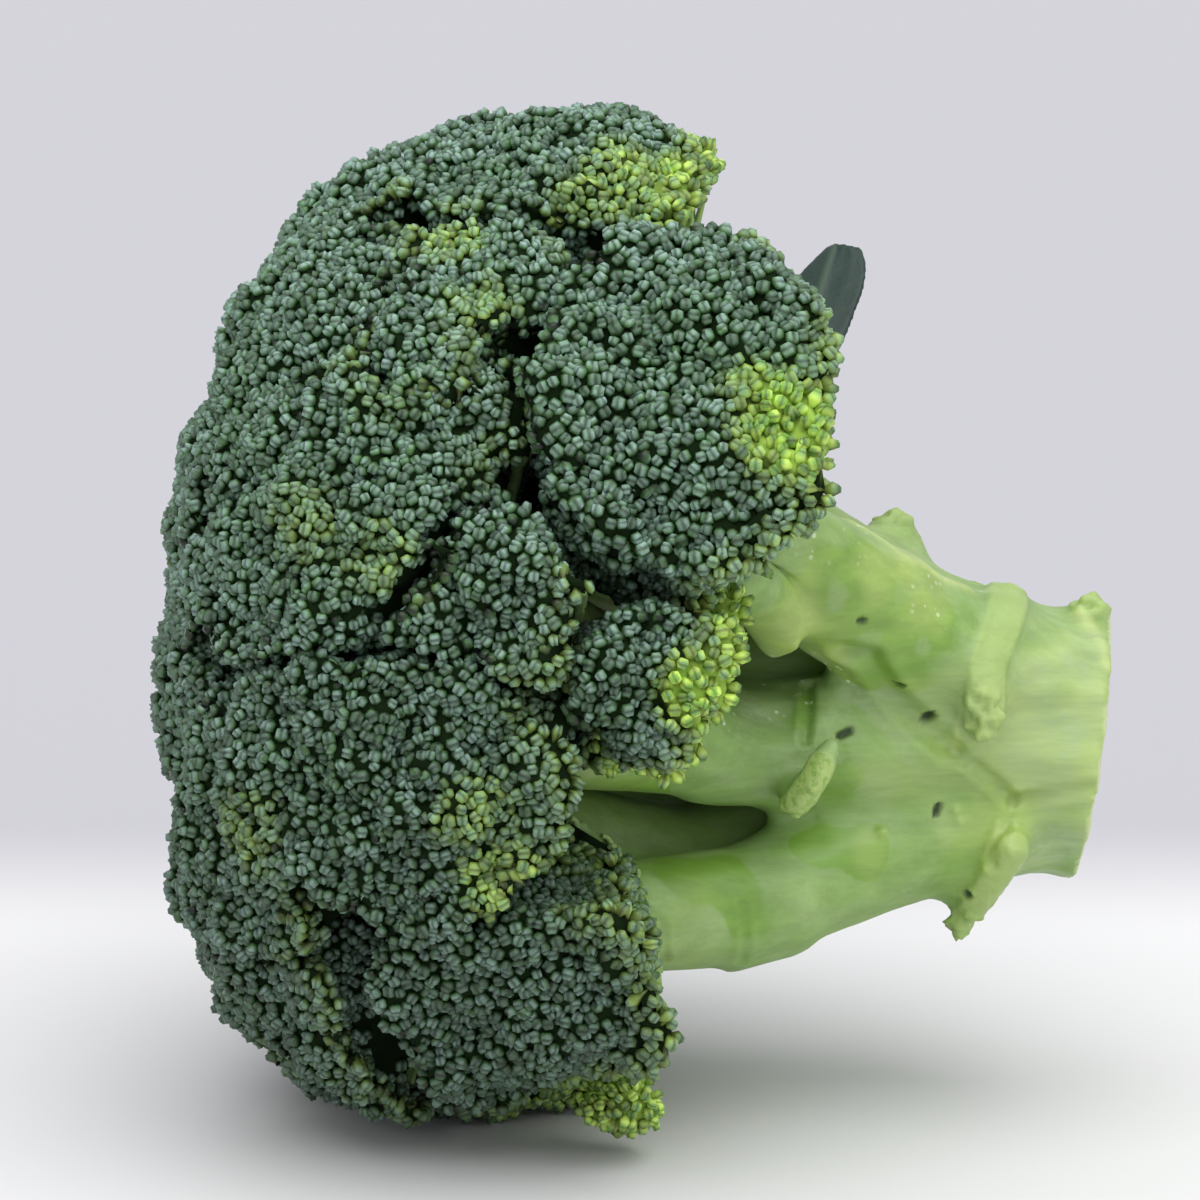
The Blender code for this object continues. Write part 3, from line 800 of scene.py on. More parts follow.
@dataclass
class BudSet:
    """The few bud meshes that are spread over the florets: oval grains with a seam across the tip."""

    sides: int = 6
    length: float = 1.16
    breadth: float = 0.94
    root_depth: float = 1.3
    seam_depth: float = 0.3
    seam_pinch: float = 0.9
    tip_start: float = -0.4
    tip_span: float = 2.0

    def build(self) -> list[bpy.types.Object]:
        """One object for each form, which is removed when the florets are done."""
        return [self.bud(shape) for shape in BudShape]

    def bud(self, shape: BudShape) -> bpy.types.Object:
        """A closed bud that stands on the origin, down to a point at its root.

        Args:
            shape: its form.

        Returns:
            The bud, hidden from the render.
        """
        rings = shape.value
        builder = bmesh.new()
        root = builder.verts.new(Vector((0, 0, rings[0][0] - self.root_depth)) * MM)
        levels = []
        for number, (height, radius) in enumerate(rings):
            share = max(number - len(rings) + 3, 0) / 2
            ring = []
            for step in range(self.sides):
                turn = 2 * math.pi * step / self.sides
                seam = step % (self.sides // 2) == 0
                reach = radius * (self.seam_pinch if seam else 1.0)
                drop = self.seam_depth * share if seam else 0.0
                spot = Vector((reach * self.length * math.cos(turn), reach * self.breadth * math.sin(turn),
                               height - drop))
                ring.append(builder.verts.new(spot * MM))
            levels.append(ring)
        opposite = self.sides // 2
        following = [(step + 1) % self.sides for step in range(self.sides)]
        for low, high in zip(levels, levels[1:]):
            for step, after in enumerate(following):
                builder.faces.new((low[step], low[after], high[after], high[step]))
        for step, after in enumerate(following):
            builder.faces.new((levels[0][after], levels[0][step], root))
        builder.faces.new(levels[-1][:opposite + 1])
        builder.faces.new(levels[-1][opposite:] + levels[-1][:1])
        mesh = bpy.data.meshes.new("bud")
        builder.to_mesh(mesh)
        builder.free()
        heights = read_points(mesh)[:, 2] / MM
        write_attribute(mesh, "tip", np.clip((heights - self.tip_start) / self.tip_span, 0, 1))
        creases = [float(step % opposite == 0) for step in range(self.sides)] * len(levels)
        # crease marks the seam lines and the root, which the bud finish paints darker as shade.
        write_attribute(mesh, "crease", np.array([1.0] + creases))
        obj = new_object(f"bud_{shape.name.lower()}", mesh)
        obj.hide_render = True
        return obj


@dataclass(frozen=True)
class Graft:
    """A small swelling that grows on a floret where it hides a gap."""

    node: str
    spot: Place
    radius: float


@dataclass(frozen=True)
class YoungPatch:
    """A place where the buds are younger and yellow-green."""

    spot: Place
    reach: float
    strength: float


@dataclass(frozen=True)
class Swell:
    """Rounded swellings of one size: how far apart, how high and how deep the groove between them."""

    spacing: float
    rise: float
    groove: float


@dataclass
class CrownSurface:
    """The even outer surface of the crown, as a distance from the pivot for each of many directions.

    The reach is in degrees, and the fades are depths in millimetres.
    """

    directions: int = 6000
    neighbours: int = 7
    reach: float = 8.5
    share: float = 0.8
    fade_start: float = 10.0
    fade_end: float = 24.0

    def build(self, names: list[str]) -> None:
        """Takes the outermost distance near each direction, and then the least of those near it.

        Args:
            names: the florets that share the surface.
        """
        self.pivot = PLANT.place(PLANT.pivot)
        spots = np.concatenate([read_points(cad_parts[name].data) for name in names]) - self.pivot
        lengths = np.linalg.norm(spots, axis=1)
        steps = np.arange(self.directions) + 0.5
        turn = math.pi * (1 + math.sqrt(5)) * steps
        height = 1 - 2 * steps / self.directions
        flat = np.sqrt(1 - height ** 2)
        headings = np.column_stack((flat * np.cos(turn), flat * np.sin(turn), height))
        self.headings = point_tree(headings)
        known = point_tree(spots / lengths[:, None])
        near = 2 * math.sin(math.radians(self.reach) / 2)
        outer = [max((lengths[found[1]] for found in known.find_range(Vector(heading), near)), default=0.0)
                 for heading in headings]
        closed = [min(outer[found[1]] for found in self.headings.find_range(Vector(heading), near))
                  for heading in headings]
        groups = [self.headings.find_n(Vector(heading), self.neighbours) for heading in headings]
        self.closed = np.array([np.mean([closed[found[1]] for found in group]) for group in groups]) / MM

    def depth(self, points: np.ndarray) -> np.ndarray:
        """Millimetres from each point out to the surface, far below zero where the crown has none."""
        spots = points - self.pivot
        lengths = np.linalg.norm(spots, axis=1)
        groups = [self.headings.find_n(Vector(spot), 3) for spot in spots / lengths[:, None]]
        closed = np.array([np.mean([self.closed[found[1]] for found in group]) for group in groups])
        return closed - lengths / MM

    def fill(self, depth: np.ndarray) -> np.ndarray:
        """Millimetres by which points at these depths rise, to close the creases between the florets."""
        return self.share * np.maximum(depth, 0) * (1 - smooth_step(depth, self.fade_start, self.fade_end))


@dataclass
class Florets:
    """Every floret: a heart painted dark as shade, its pedicels and its cover of buds. Lengths are in
    millimetres.
    """

    voxel: float = 1.3
    softening: int = 4
    sink: float = 1.2
    heart_share: float = 0.12
    spacing: float = 1.55
    candidates: float = 12.0
    shake: float = 0.28
    outward_lean: float = 0.35
    widths: tuple[float, float] = (0.86, 1.16)
    heights: tuple[float, float] = (0.85, 1.2)
    uneven: tuple[float, float] = (-0.3, 0.22)
    loose_share: float = 0.6
    touch: float = 0.05
    under_facing: float = -0.1
    wall_reach: float = 2.5
    wall_buds: float = 4.0
    wall_fade: float = 2.0
    under_buds: float = 6.5
    under_fade: float = 3.0
    crevice_reach: float = 40.0
    crevice_buds: float = 11.0
    crevice_fade: float = 4.0
    hang_fade: float = 3.0
    rim_width: float = 9.0
    swells: tuple[Swell, ...] = (Swell(17.0, 1.8, 0.9), Swell(8.0, 1.2, 1.0))
    dome_level: float = 0.45
    dome_width: float = 0.62
    dome_floor: float = -0.8
    groove_width: float = 0.16
    loose_youth: float = 0.8
    loose_rise: float = 0.8
    open_depth: float = 6.0
    heart_depth: float = 18.0
    thin: float = 3.4
    join_width: float = 6.0
    join_rise: float = 0.7
    foot_share: float = 0.12
    fork_spacing: float = 9.0
    fork_radius: float = 1.5
    fork_share: float = 0.7
    end_spacing: float = 3.1
    end_radius: float = 0.85
    end_rise: float = 0.9
    end_width: float = 0.55
    stem_sides: int = 5
    stem_steps: int = 6
    bow_out: float = 1.2
    bow_back: float = 0.6
    covered: dict[str, tuple[tuple[Place, float], ...]] = field(default_factory=lambda: {
        "floret_lower_front": (((73, 58, 113), 15.0), ((82, 56, 118), 12.0)),
        "floret_bottom": (((113, 71, 130), 14.0),)})
    apart: dict[str, float] = field(default_factory=lambda: {
        "floret_upper": 0.0, "floret_small": 0.0, "floret_sprig": 0.0, "floret_middle_front": 0.0,
        "floret_lower_front": 0.4, "floret_bottom": 0.6})
    grafts: tuple[Graft, ...] = (
        Graft("floret_small", (84.0, 53.5, 79.0), 9.5),
        Graft("floret_small", (83.0, 50.5, 88.0), 8.5),
        Graft("floret_small", (82.0, 55.0, 86.0), 7.0),
        Graft("floret_upper_front", (107.0, 76.0, 52.0), 8.5),
        Graft("floret_upper_front", (110.0, 73.5, 56.0), 8.5),
        Graft("floret_small", (67.5, 57.0, 66.0), 7.0),
        Graft("floret_lower_left", (134.4, 29.3, 165.2), 8.5),
        Graft("floret_lower_left", (135.6, 20.8, 158.8), 8.5),
        Graft("floret_lower_left", (136.5, 15.0, 145.6), 8.0),
        Graft("floret_crown_front", (140.9, 37.4, 13.1), 8.5),
        Graft("floret_crown_front", (139.5, 5.9, 143.6), 7.5),
        Graft("floret_far_shoulder", (140.6, 30.6, 306.8), 9.0),
    )
    bud_sizes: dict[str, float] = field(default_factory=lambda: {
        "floret_upper": 1.06, "floret_sprig": 0.85, "floret_lower_front": 1.03})
    rim_youth: dict[str, float] = field(default_factory=lambda: {
        "floret_upper": 0.35, "floret_small": 0.9, "floret_sprig": 0.95, "floret_top_rim": 0.7,
        "floret_lower_front": 0.35, "floret_front": 0.2})
    usual_youth: float = 0.16
    patches: tuple[YoungPatch, ...] = (
        YoungPatch((59, 88.6, 52), 13, 0.95), YoungPatch((66, 91, 48), 7, 0.6),
        YoungPatch((92.5, 88, 24), 10, 0.45), YoungPatch((86.8, 91.2, 18), 9, 0.6),
        YoungPatch((79.2, 92, 15), 9, 0.7), YoungPatch((82.7, 71.4, 168), 12, 0.5),
        YoungPatch((113.5, 83.6, 29), 9, 0.45), YoungPatch((109, 88, 41), 8, 0.35),
        YoungPatch((131.7, 78, 67), 9, 0.2), YoungPatch((118.9, 80.8, 70), 8, 0.25),
        YoungPatch((93.2, 77.9, 104), 8, 0.55), YoungPatch((90, 60, 81), 10, 0.5),
        YoungPatch((99.1, 80.4, 96), 8, 0.35), YoungPatch((133.7, 67.9, 106), 9, 0.3),
        YoungPatch((67.5, 60, 66), 9, 0.9), YoungPatch((68.7, 77.5, 80), 9, 1.0),
        YoungPatch((70, 70, 147), 14, 1.0),
    )

    def build(self) -> list[bpy.types.Object]:
        """Makes and dresses every floret.

        Returns:
            The pieces.
        """
        self.names = sorted(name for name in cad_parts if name.startswith("floret_"))
        self.surface = CrownSurface()
        self.surface.build([name for name in self.names if self.apart.get(name, 1.0) > 0])
        self.buds = BudSet().build()
        self.bud_finish = BudFinish().build()
        self.stem_finish = StemFinish().build()
        self.cover_tree = self.make_cover_tree()
        self.stem_tree = self.make_stem_tree()
        pieces = []
        for number, name in enumerate(self.names):
            pieces += self.dress(name, number + 1)
        for bud in self.buds:
            bpy.data.objects.remove(bud)
        return pieces

    def make_cover_tree(self) -> GeometryTree:
        """The tree that spreads buds over a floret's open side."""
        tree = GeometryTree("bud_cover")
        spacing = tree.parameter("Spacing", "Float")
        size = tree.parameter("Bud Size", "Float")
        seed = tree.parameter("Seed", "Int")
        material = tree.parameter("Material", "Material")
        crowd = tree.math("DIVIDE", self.candidates, tree.times(spacing, spacing))
        spread = tree.add("GeometryNodeDistributePointsOnFaces", distribute_method="POISSON")
        for socket, value in (("Mesh", tree.entry.outputs[0]), ("Distance Min", spacing),
                              ("Density Max", crowd), ("Density Factor", tree.field("cover")),
                              ("Seed", seed)):
            tree.tree.links.new(value, spread.inputs[socket])
        position = tree.add("GeometryNodeInputPosition").outputs[0]
        shake = tree.add("FunctionNodeRandomValue", {"Seed": 11}, data_type="FLOAT_VECTOR")
        shake.inputs[0].default_value = (-self.shake,) * 3
        shake.inputs[1].default_value = (self.shake,) * 3
        points = tree.store(spread.outputs["Points"], "facing", spread.outputs["Normal"], kind="FLOAT_VECTOR")
        facing = tree.field("facing", "FLOAT_VECTOR")
        outward = tree.vector("NORMALIZE", tree.vector("SUBTRACT", position, tuple(PLANT.place(PLANT.pivot))))
        lean = tree.vector("ADD", facing, tree.scaled(outward, self.outward_lean))
        lean = tree.vector("NORMALIZE", tree.vector("ADD", lean, shake.outputs[0]))
        raised = tree.times(tree.field("hang"), self.loose_rise)
        uneven = tree.times(tree.plus(tree.random(*self.uneven, 12), raised), MM)
        offset = tree.scaled(facing, uneven)
        moved = tree.add("GeometryNodeSetPosition", {"Geometry": points, "Offset": offset})
        upright = tree.add("FunctionNodeAlignRotationToVector", {"Vector": lean}, axis="Z").outputs[0]
        angle = tree.random(0, 6.283, 13)
        spin = tree.add("FunctionNodeAxisAngleToRotation", {"Axis": (0, 0, 1), "Angle": angle}).outputs[0]
        turned = tree.add("FunctionNodeRotateRotation", {0: upright, 1: spin}, rotation_space="LOCAL")
        width = tree.times(tree.random(*self.widths, 14), size)
        height = tree.times(tree.random(*self.heights, 15), size)
        scale = tree.add("ShaderNodeCombineXYZ", {0: width, 1: width, 2: height}).outputs[0]
        choices = [tree.add("GeometryNodeObjectInfo", {"As Instance": True}) for _ in self.buds]
        for choice, bud in zip(choices, self.buds):
            choice.inputs["Object"].default_value = bud
        join = tree.add("GeometryNodeJoinGeometry")
        for choice in reversed(choices):
            tree.tree.links.new(choice.outputs["Geometry"], join.inputs[0])
        young = tree.field("young")
        loose = tree.plus(tree.field("hang"), tree.random(-0.3, 0.3, 16))
        hanging = tree.math("GREATER_THAN", loose, self.loose_share)
        common = tree.math("FLOOR", tree.random(0, 2.999, 17))
        index = tree.plus(tree.times(hanging, tree.math("SUBTRACT", 3.0, common)), common)
        inputs = {"Points": moved.outputs[0], "Instance": join.outputs[0], "Pick Instance": True,
                  "Instance Index": index, "Rotation": turned.outputs[0], "Scale": scale}
        instances = tree.add("GeometryNodeInstanceOnPoints", inputs).outputs[0]
        mottled = tree.plus(young, tree.times(tree.random(-0.3, 0.3, 18), young))
        tinted = tree.store(instances, "tint", tree.random(0.0, 1.0, 19), "INSTANCE")
        tinted = tree.store(tinted, "young", tree.math("MAXIMUM", mottled, 0.0), "INSTANCE")
        tree.finish(tinted, material)
        return tree

    def make_stem_tree(self) -> GeometryTree:
        """The tree that draws a tapering stem from a root to each point, over the heart."""
        tree = GeometryTree("stem_fan")
        ends = tree.parameter("Ends", "Object")
        sides = tree.parameter("Sides", "Int")
        material = tree.parameter("Material", "Material")
        points = tree.add("GeometryNodeObjectInfo", {"Object": ends}).outputs["Geometry"]
        line = tree.add("GeometryNodeCurvePrimitiveLine", {"End": (0.0, 0.0, 1.0)}).outputs[0]
        line = tree.add("GeometryNodeResampleCurve", {"Curve": line, "Count": self.stem_steps}).outputs[0]
        instances = tree.add("GeometryNodeInstanceOnPoints", {"Points": points, "Instance": line}).outputs[0]
        curves = tree.add("GeometryNodeRealizeInstances", {"Geometry": instances}).outputs[0]
        share = tree.add("GeometryNodeSplineParameter").outputs["Factor"]
        rest = tree.math("SUBTRACT", 1.0, share)
        from_root = tree.scaled(tree.field("root", "FLOAT_VECTOR"), tree.times(rest, rest))
        twice = tree.times(tree.times(share, rest), 2.0)
        from_bow = tree.scaled(tree.field("bow", "FLOAT_VECTOR"), twice)
        from_end = tree.scaled(tree.field("end", "FLOAT_VECTOR"), tree.times(share, share))
        spot = tree.vector("ADD", tree.vector("ADD", from_root, from_bow), from_end)
        bent = tree.add("GeometryNodeSetPosition", {"Geometry": curves, "Position": spot}).outputs[0]
        marked = tree.store(bent, "reach", share)
        inputs = {"Resolution": sides, "Radius": 1.0}
        profile = tree.add("GeometryNodeCurvePrimitiveCircle", inputs).outputs[0]
        taper = tree.ramp(share, 0.0, 1.0, 1.0, self.end_width)
        narrowing = tree.times(tree.field("thick"), taper)
        tubes = tree.add("GeometryNodeCurveToMesh", {"Curve": marked, "Profile Curve": profile,
                         "Scale": narrowing, "Fill Caps": True}).outputs[0]
        heart = tree.store(tree.entry.outputs[0], "heart", 1.0)
        join = tree.add("GeometryNodeJoinGeometry")
        tree.tree.links.new(tubes, join.inputs[0])
        tree.tree.links.new(heart, join.inputs[0])
        tree.finish(join.outputs[0], material)
        return tree

    def blockers(self, name: str, start_of_name: str = "") -> BVHTree:
        """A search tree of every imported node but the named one.

        Args:
            name: the node that is left out.
            start_of_name: how the names of the others must start.

        Returns:
            The tree.
        """
        points: list[Vector] = []
        faces: list[tuple[int, ...]] = []
        for other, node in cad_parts.items():
            if other == name or not other.startswith(start_of_name):
                continue
            start = len(points)
            points += [vertex.co.copy() for vertex in node.data.vertices]
            faces += [tuple(start + index for index in polygon.vertices) for polygon in node.data.polygons]
        return BVHTree.FromPolygons(points, faces)

    def classify(self, name: str, base: bpy.types.Object, depth: np.ndarray) -> dict[str, np.ndarray]:
        """Which points of a floret are open, walled by a neighbour or under it.

        Args:
            name: the floret's node.
            base: its even skin.
            depth: depth of each point under the crown's even surface.

        Returns:
            Numbers for each point: cover, young, hang, bare and joined, which is 1 beside a neighbour.
        """
        points = read_points(base.data)
        normals = read_normals(base.data)
        others = self.blockers(name)
        reach = self.wall_reach * MM
        walled = np.array([
            others.ray_cast(Vector(point + normal * self.touch * MM), Vector(normal), reach)[0] is not None
            for point, normal in zip(points, normals)])
        under = (normals * PLANT.outward(points)).sum(axis=1) < self.under_facing
        neighbours = self.blockers(name, "floret_")
        far_reach = self.crevice_reach * MM
        crevice = under & np.array([
            neighbours.ray_cast(Vector(point), Vector(normal), far_reach)[0] is not None
            for point, normal in zip(points, normals)])
        from_open = self.distances(points, ~walled & ~under)
        from_under = self.distances(points, ~walled & under & ~crevice)
        walls = 1 - smooth_step(from_open, self.wall_buds - self.wall_fade, self.wall_buds)
        below = 1 - smooth_step(from_open, self.under_buds - self.under_fade, self.under_buds)
        inside = 1 - smooth_step(from_open, self.crevice_buds - self.crevice_fade, self.crevice_buds)
        cover = np.where(crevice & ~walled, inside, np.where(under & ~walled, below, walls))
        skin = BVHTree.FromPolygons([Vector(point) for point in points],
                                    [polygon.vertices[:] for polygon in base.data.polygons])
        thin = np.array([
            skin.ray_cast(Vector(point - 0.1 * MM * normal), Vector(-normal), self.thin * MM)[0] is not None
            for point, normal in zip(points, normals)])
        merging = self.apart.get(name, 1.0)
        shallow = (depth > -self.open_depth) & (depth < self.heart_depth)
        left = depth - merging * self.surface.fill(depth)
        near = 1 - smooth_step(left, 0.5 * self.open_depth, self.open_depth)
        cover = np.maximum(cover, shallow * merging * near)
        for spot, reach in self.covered.get(name, ()):
            away = PLANT.away(points, spot)
            cover = np.maximum(cover, 1 - smooth_step(away, 0.7 * reach, reach))
        cover = np.where(thin, 0.0, cover)
        rim = 1 - smooth_step(from_under, 0.0, self.rim_width)
        youth = self.rim_youth.get(name, self.usual_youth) * rim
        for patch in self.patches:
            away = PLANT.away(points, patch.spot)
            soft = 1 - smooth_step(away, 0.4 * patch.reach, patch.reach)
            youth = np.maximum(youth, patch.strength * soft)
        hang = np.where(under & ~crevice, 1.0, 1 - smooth_step(from_under, 0.0, self.hang_fade))
        hang = np.maximum(hang, smooth_step(youth, self.loose_youth - 0.1, self.loose_youth))
        bare = under & ~walled & ~crevice & (cover < 0.5)
        if merging == 1.0:
            bare &= ~shallow
        joined = merging * (1 - smooth_step(self.distances(points, walled), 0.0, self.join_width))
        return {"cover": cover, "young": np.clip(youth, 0, 1), "hang": hang, "bare": bare.astype(float),
                "joined": joined}

    def distances(self, points: np.ndarray, chosen: np.ndarray) -> np.ndarray:
        """Distance in millimetres from each point to the nearest chosen one."""
        if not chosen.any():
            return np.full(len(points), 100.0)
        tree = point_tree(points[chosen])
        return np.array([tree.find(Vector(point))[2] for point in points]) / MM

    def dress(self, name: str, seed: int) -> list[bpy.types.Object]:
        """Makes the pieces of one floret.

        Args:
            name: its node.
            seed: seed of its random draws.

        Returns:
            The cover of buds and the stems.
        """
        base = remeshed_copy(name, f"{name}_base", self.voxel, self.softening, self.graft_meshes(name))
        depth = self.surface.depth(read_points(base.data))
        known = self.classify(name, base, depth)
        self.swell(base, known, self.apart.get(name, 1.0) * self.surface.fill(depth), seed)
        for key in ("cover", "young", "hang"):
            write_attribute(base.data, key, known[key])
        size = self.bud_sizes.get(name, 1.0)
        inputs = {"Spacing": self.spacing * size * MM, "Bud Size": size, "Seed": seed,
                  "Material": self.bud_finish}
        cover = self.cover_tree.apply(base, inputs, f"{name}_buds")
        ends = self.stem_ends(name, base, known, seed)
        thin = base.modifiers.new("Thin", "DECIMATE")
        thin.ratio = self.heart_share
        apply_modifiers(base)
        inputs = {"Ends": ends, "Sides": self.stem_sides, "Material": self.stem_finish}
        stems = self.stem_tree.apply(base, inputs, f"{name}_stems")
        for helper in (base, ends):
            bpy.data.objects.remove(helper)
        hand_over(cover, [name])
        hand_over(stems, [name])
        return [cover, stems]

    def graft_meshes(self, name: str) -> list[bpy.types.Mesh]:
        """Balls for the grafts of one floret, at their places."""
        meshes = []
        for graft in self.grafts:
            if graft.node == name:
                builder = bmesh.new()
                bmesh.ops.create_icosphere(builder, subdivisions=3, radius=graft.radius * MM)
                bmesh.ops.translate(builder, verts=builder.verts[:], vec=Vector(PLANT.place(graft.spot)))
                mesh = bpy.data.meshes.new("graft")
                builder.to_mesh(mesh)
                builder.free()
                meshes.append(mesh)
        return meshes

    def swell(self, base: bpy.types.Object, known: dict[str, np.ndarray], fill: np.ndarray, seed: int
              ) -> None:
        """Sinks a floret's skin by the height of a bud and raises lobes and clusters on it.

        Args:
            base: its even skin.
            known: what classify found.
            fill: millimetres by which it rises outwards, to close the crease to its neighbours.
            seed: seed of the random draws.
        """
        points = read_points(base.data)
        normals = read_normals(base.data)
        cover = known["cover"]
        order = np.random.default_rng(100 + seed).permutation(np.flatnonzero(cover > 0.5))
        lift = known["joined"] * (self.sink + self.join_rise) - self.sink
        for swell in self.swells:
            centres = self.thinned(points, order, swell.spacing)
            if len(centres) < 2:
                continue
            tree = point_tree(points[centres])
            found = np.array([[near[2] for near in tree.find_n(Vector(point), 2)] for point in points]) / MM
            fall = (found[:, 0] / (self.dome_width * swell.spacing)) ** 2
            dome = np.maximum(self.dome_level - fall, self.dome_floor)
            groove = bell(found[:, 1] - found[:, 0], 0.0, self.groove_width * swell.spacing)
            lift += cover * (swell.rise * dome - swell.groove * groove)
        shift = normals * lift[:, None] + PLANT.outward(points) * fill[:, None]
        write_points(base.data, points + shift * MM)

    def stem_ends(self, name: str, base: bpy.types.Object, known: dict[str, np.ndarray], seed: int
                  ) -> bpy.types.Object:
        """The points where the pedicels end, each with its root, bow and thickness.

        Args:
            name: the floret's node.
            base: its even skin.
            known: what classify found.
            seed: seed of the random draws.

        Returns:
            An object of loose points that carry the values.
        """
        points = read_points(base.data)
        normals = read_normals(base.data)
        draw = np.random.default_rng(seed)
        low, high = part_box(name)
        middle = (np.array(low) + np.array(high)) / 2
        facing = middle - PLANT.place(PLANT.pivot)
        facing /= np.linalg.norm(facing)
        bare = np.flatnonzero(known["bare"] > 0.5)
        rows: list[tuple] = []
        if len(bare):
            depth = (points[bare] - middle) @ facing
            foot = points[bare][depth <= np.quantile(depth, self.foot_share)].mean(axis=0)
            order = draw.permutation(bare)
            forks = self.thinned(points, order, self.fork_spacing)
            ends = self.thinned(points, order, self.end_spacing)
            for fork in forks:
                rows.append(self.stem(foot, points[fork], normals[fork], facing, self.fork_radius, 0.0))
            for end in ends:
                fork = forks[int(np.argmin(np.linalg.norm(points[forks] - points[end], axis=1)))]
                start = points[fork] * self.fork_share + foot * (1 - self.fork_share)
                stop = points[end] + normals[end] * self.end_rise * MM
                rows.append(self.stem(start, stop, normals[end], facing, self.end_radius,
                                      known["young"][end]))
        mesh = bpy.data.meshes.new(f"{name}_ends")
        mesh.from_pydata([tuple(row[2]) for row in rows], [], [])
        if rows:
            for column, key in enumerate(("root", "bow", "end", "thick", "young")):
                write_attribute(mesh, key, np.array([row[column] for row in rows], float))
        return new_object(f"{name}_ends", mesh)

    def stem(self, root: np.ndarray, end: np.ndarray, normal: np.ndarray, facing: np.ndarray, thick: float,
             young: float) -> tuple:
        """One stem of the pedicels.

        Args:
            root: where it starts.
            end: where it ends.
            normal: the way that the skin faces there.
            facing: the way that the whole floret faces.
            thick: its radius in millimetres.
            young: its youth.

        Returns:
            Its root, bow, end, radius in metres and youth.
        """
        bow = (root + end) / 2 + normal * self.bow_out * MM - facing * self.bow_back * MM
        return root, bow, end, thick * MM, young

    @staticmethod
    def thinned(points: np.ndarray, order: np.ndarray, spacing: float) -> list[int]:
        """Indices taken in order, none nearer to another than the spacing in millimetres."""
        kept: list[int] = []
        for index in order:
            if not kept or np.linalg.norm(points[kept] - points[index], axis=1).min() > spacing * MM:
                kept.append(int(index))
        return kept


class MarkKind(Enum):
    """What a mark on the stalk is."""

    SCAR = "a torn ridge where a leaf grew"
    SEAM = "a fine groove"
    RIB = "a fine raised line"
    PORE = "a small dark pit"
    KNOB = "a small raised bit"
    TEAR = "a frayed end"


@dataclass(frozen=True)
class Mark:
    """A mark along a line of places on the stalk, or at one place."""

    kind: MarkKind
    spots: tuple[Place, ...]
    width: float
    height: float
    strength: float = 0.6


@dataclass(frozen=True)
class Patch:
    """A soft patch of some quality on the stalk."""

    quality: str
    spot: Place
    reach: float
    strength: float


@dataclass(frozen=True)
class Pull:
    """Flesh near a place that moves by so many millimetres in the world."""

    spot: Place
    reach: float
    shift: tuple[float, float, float]


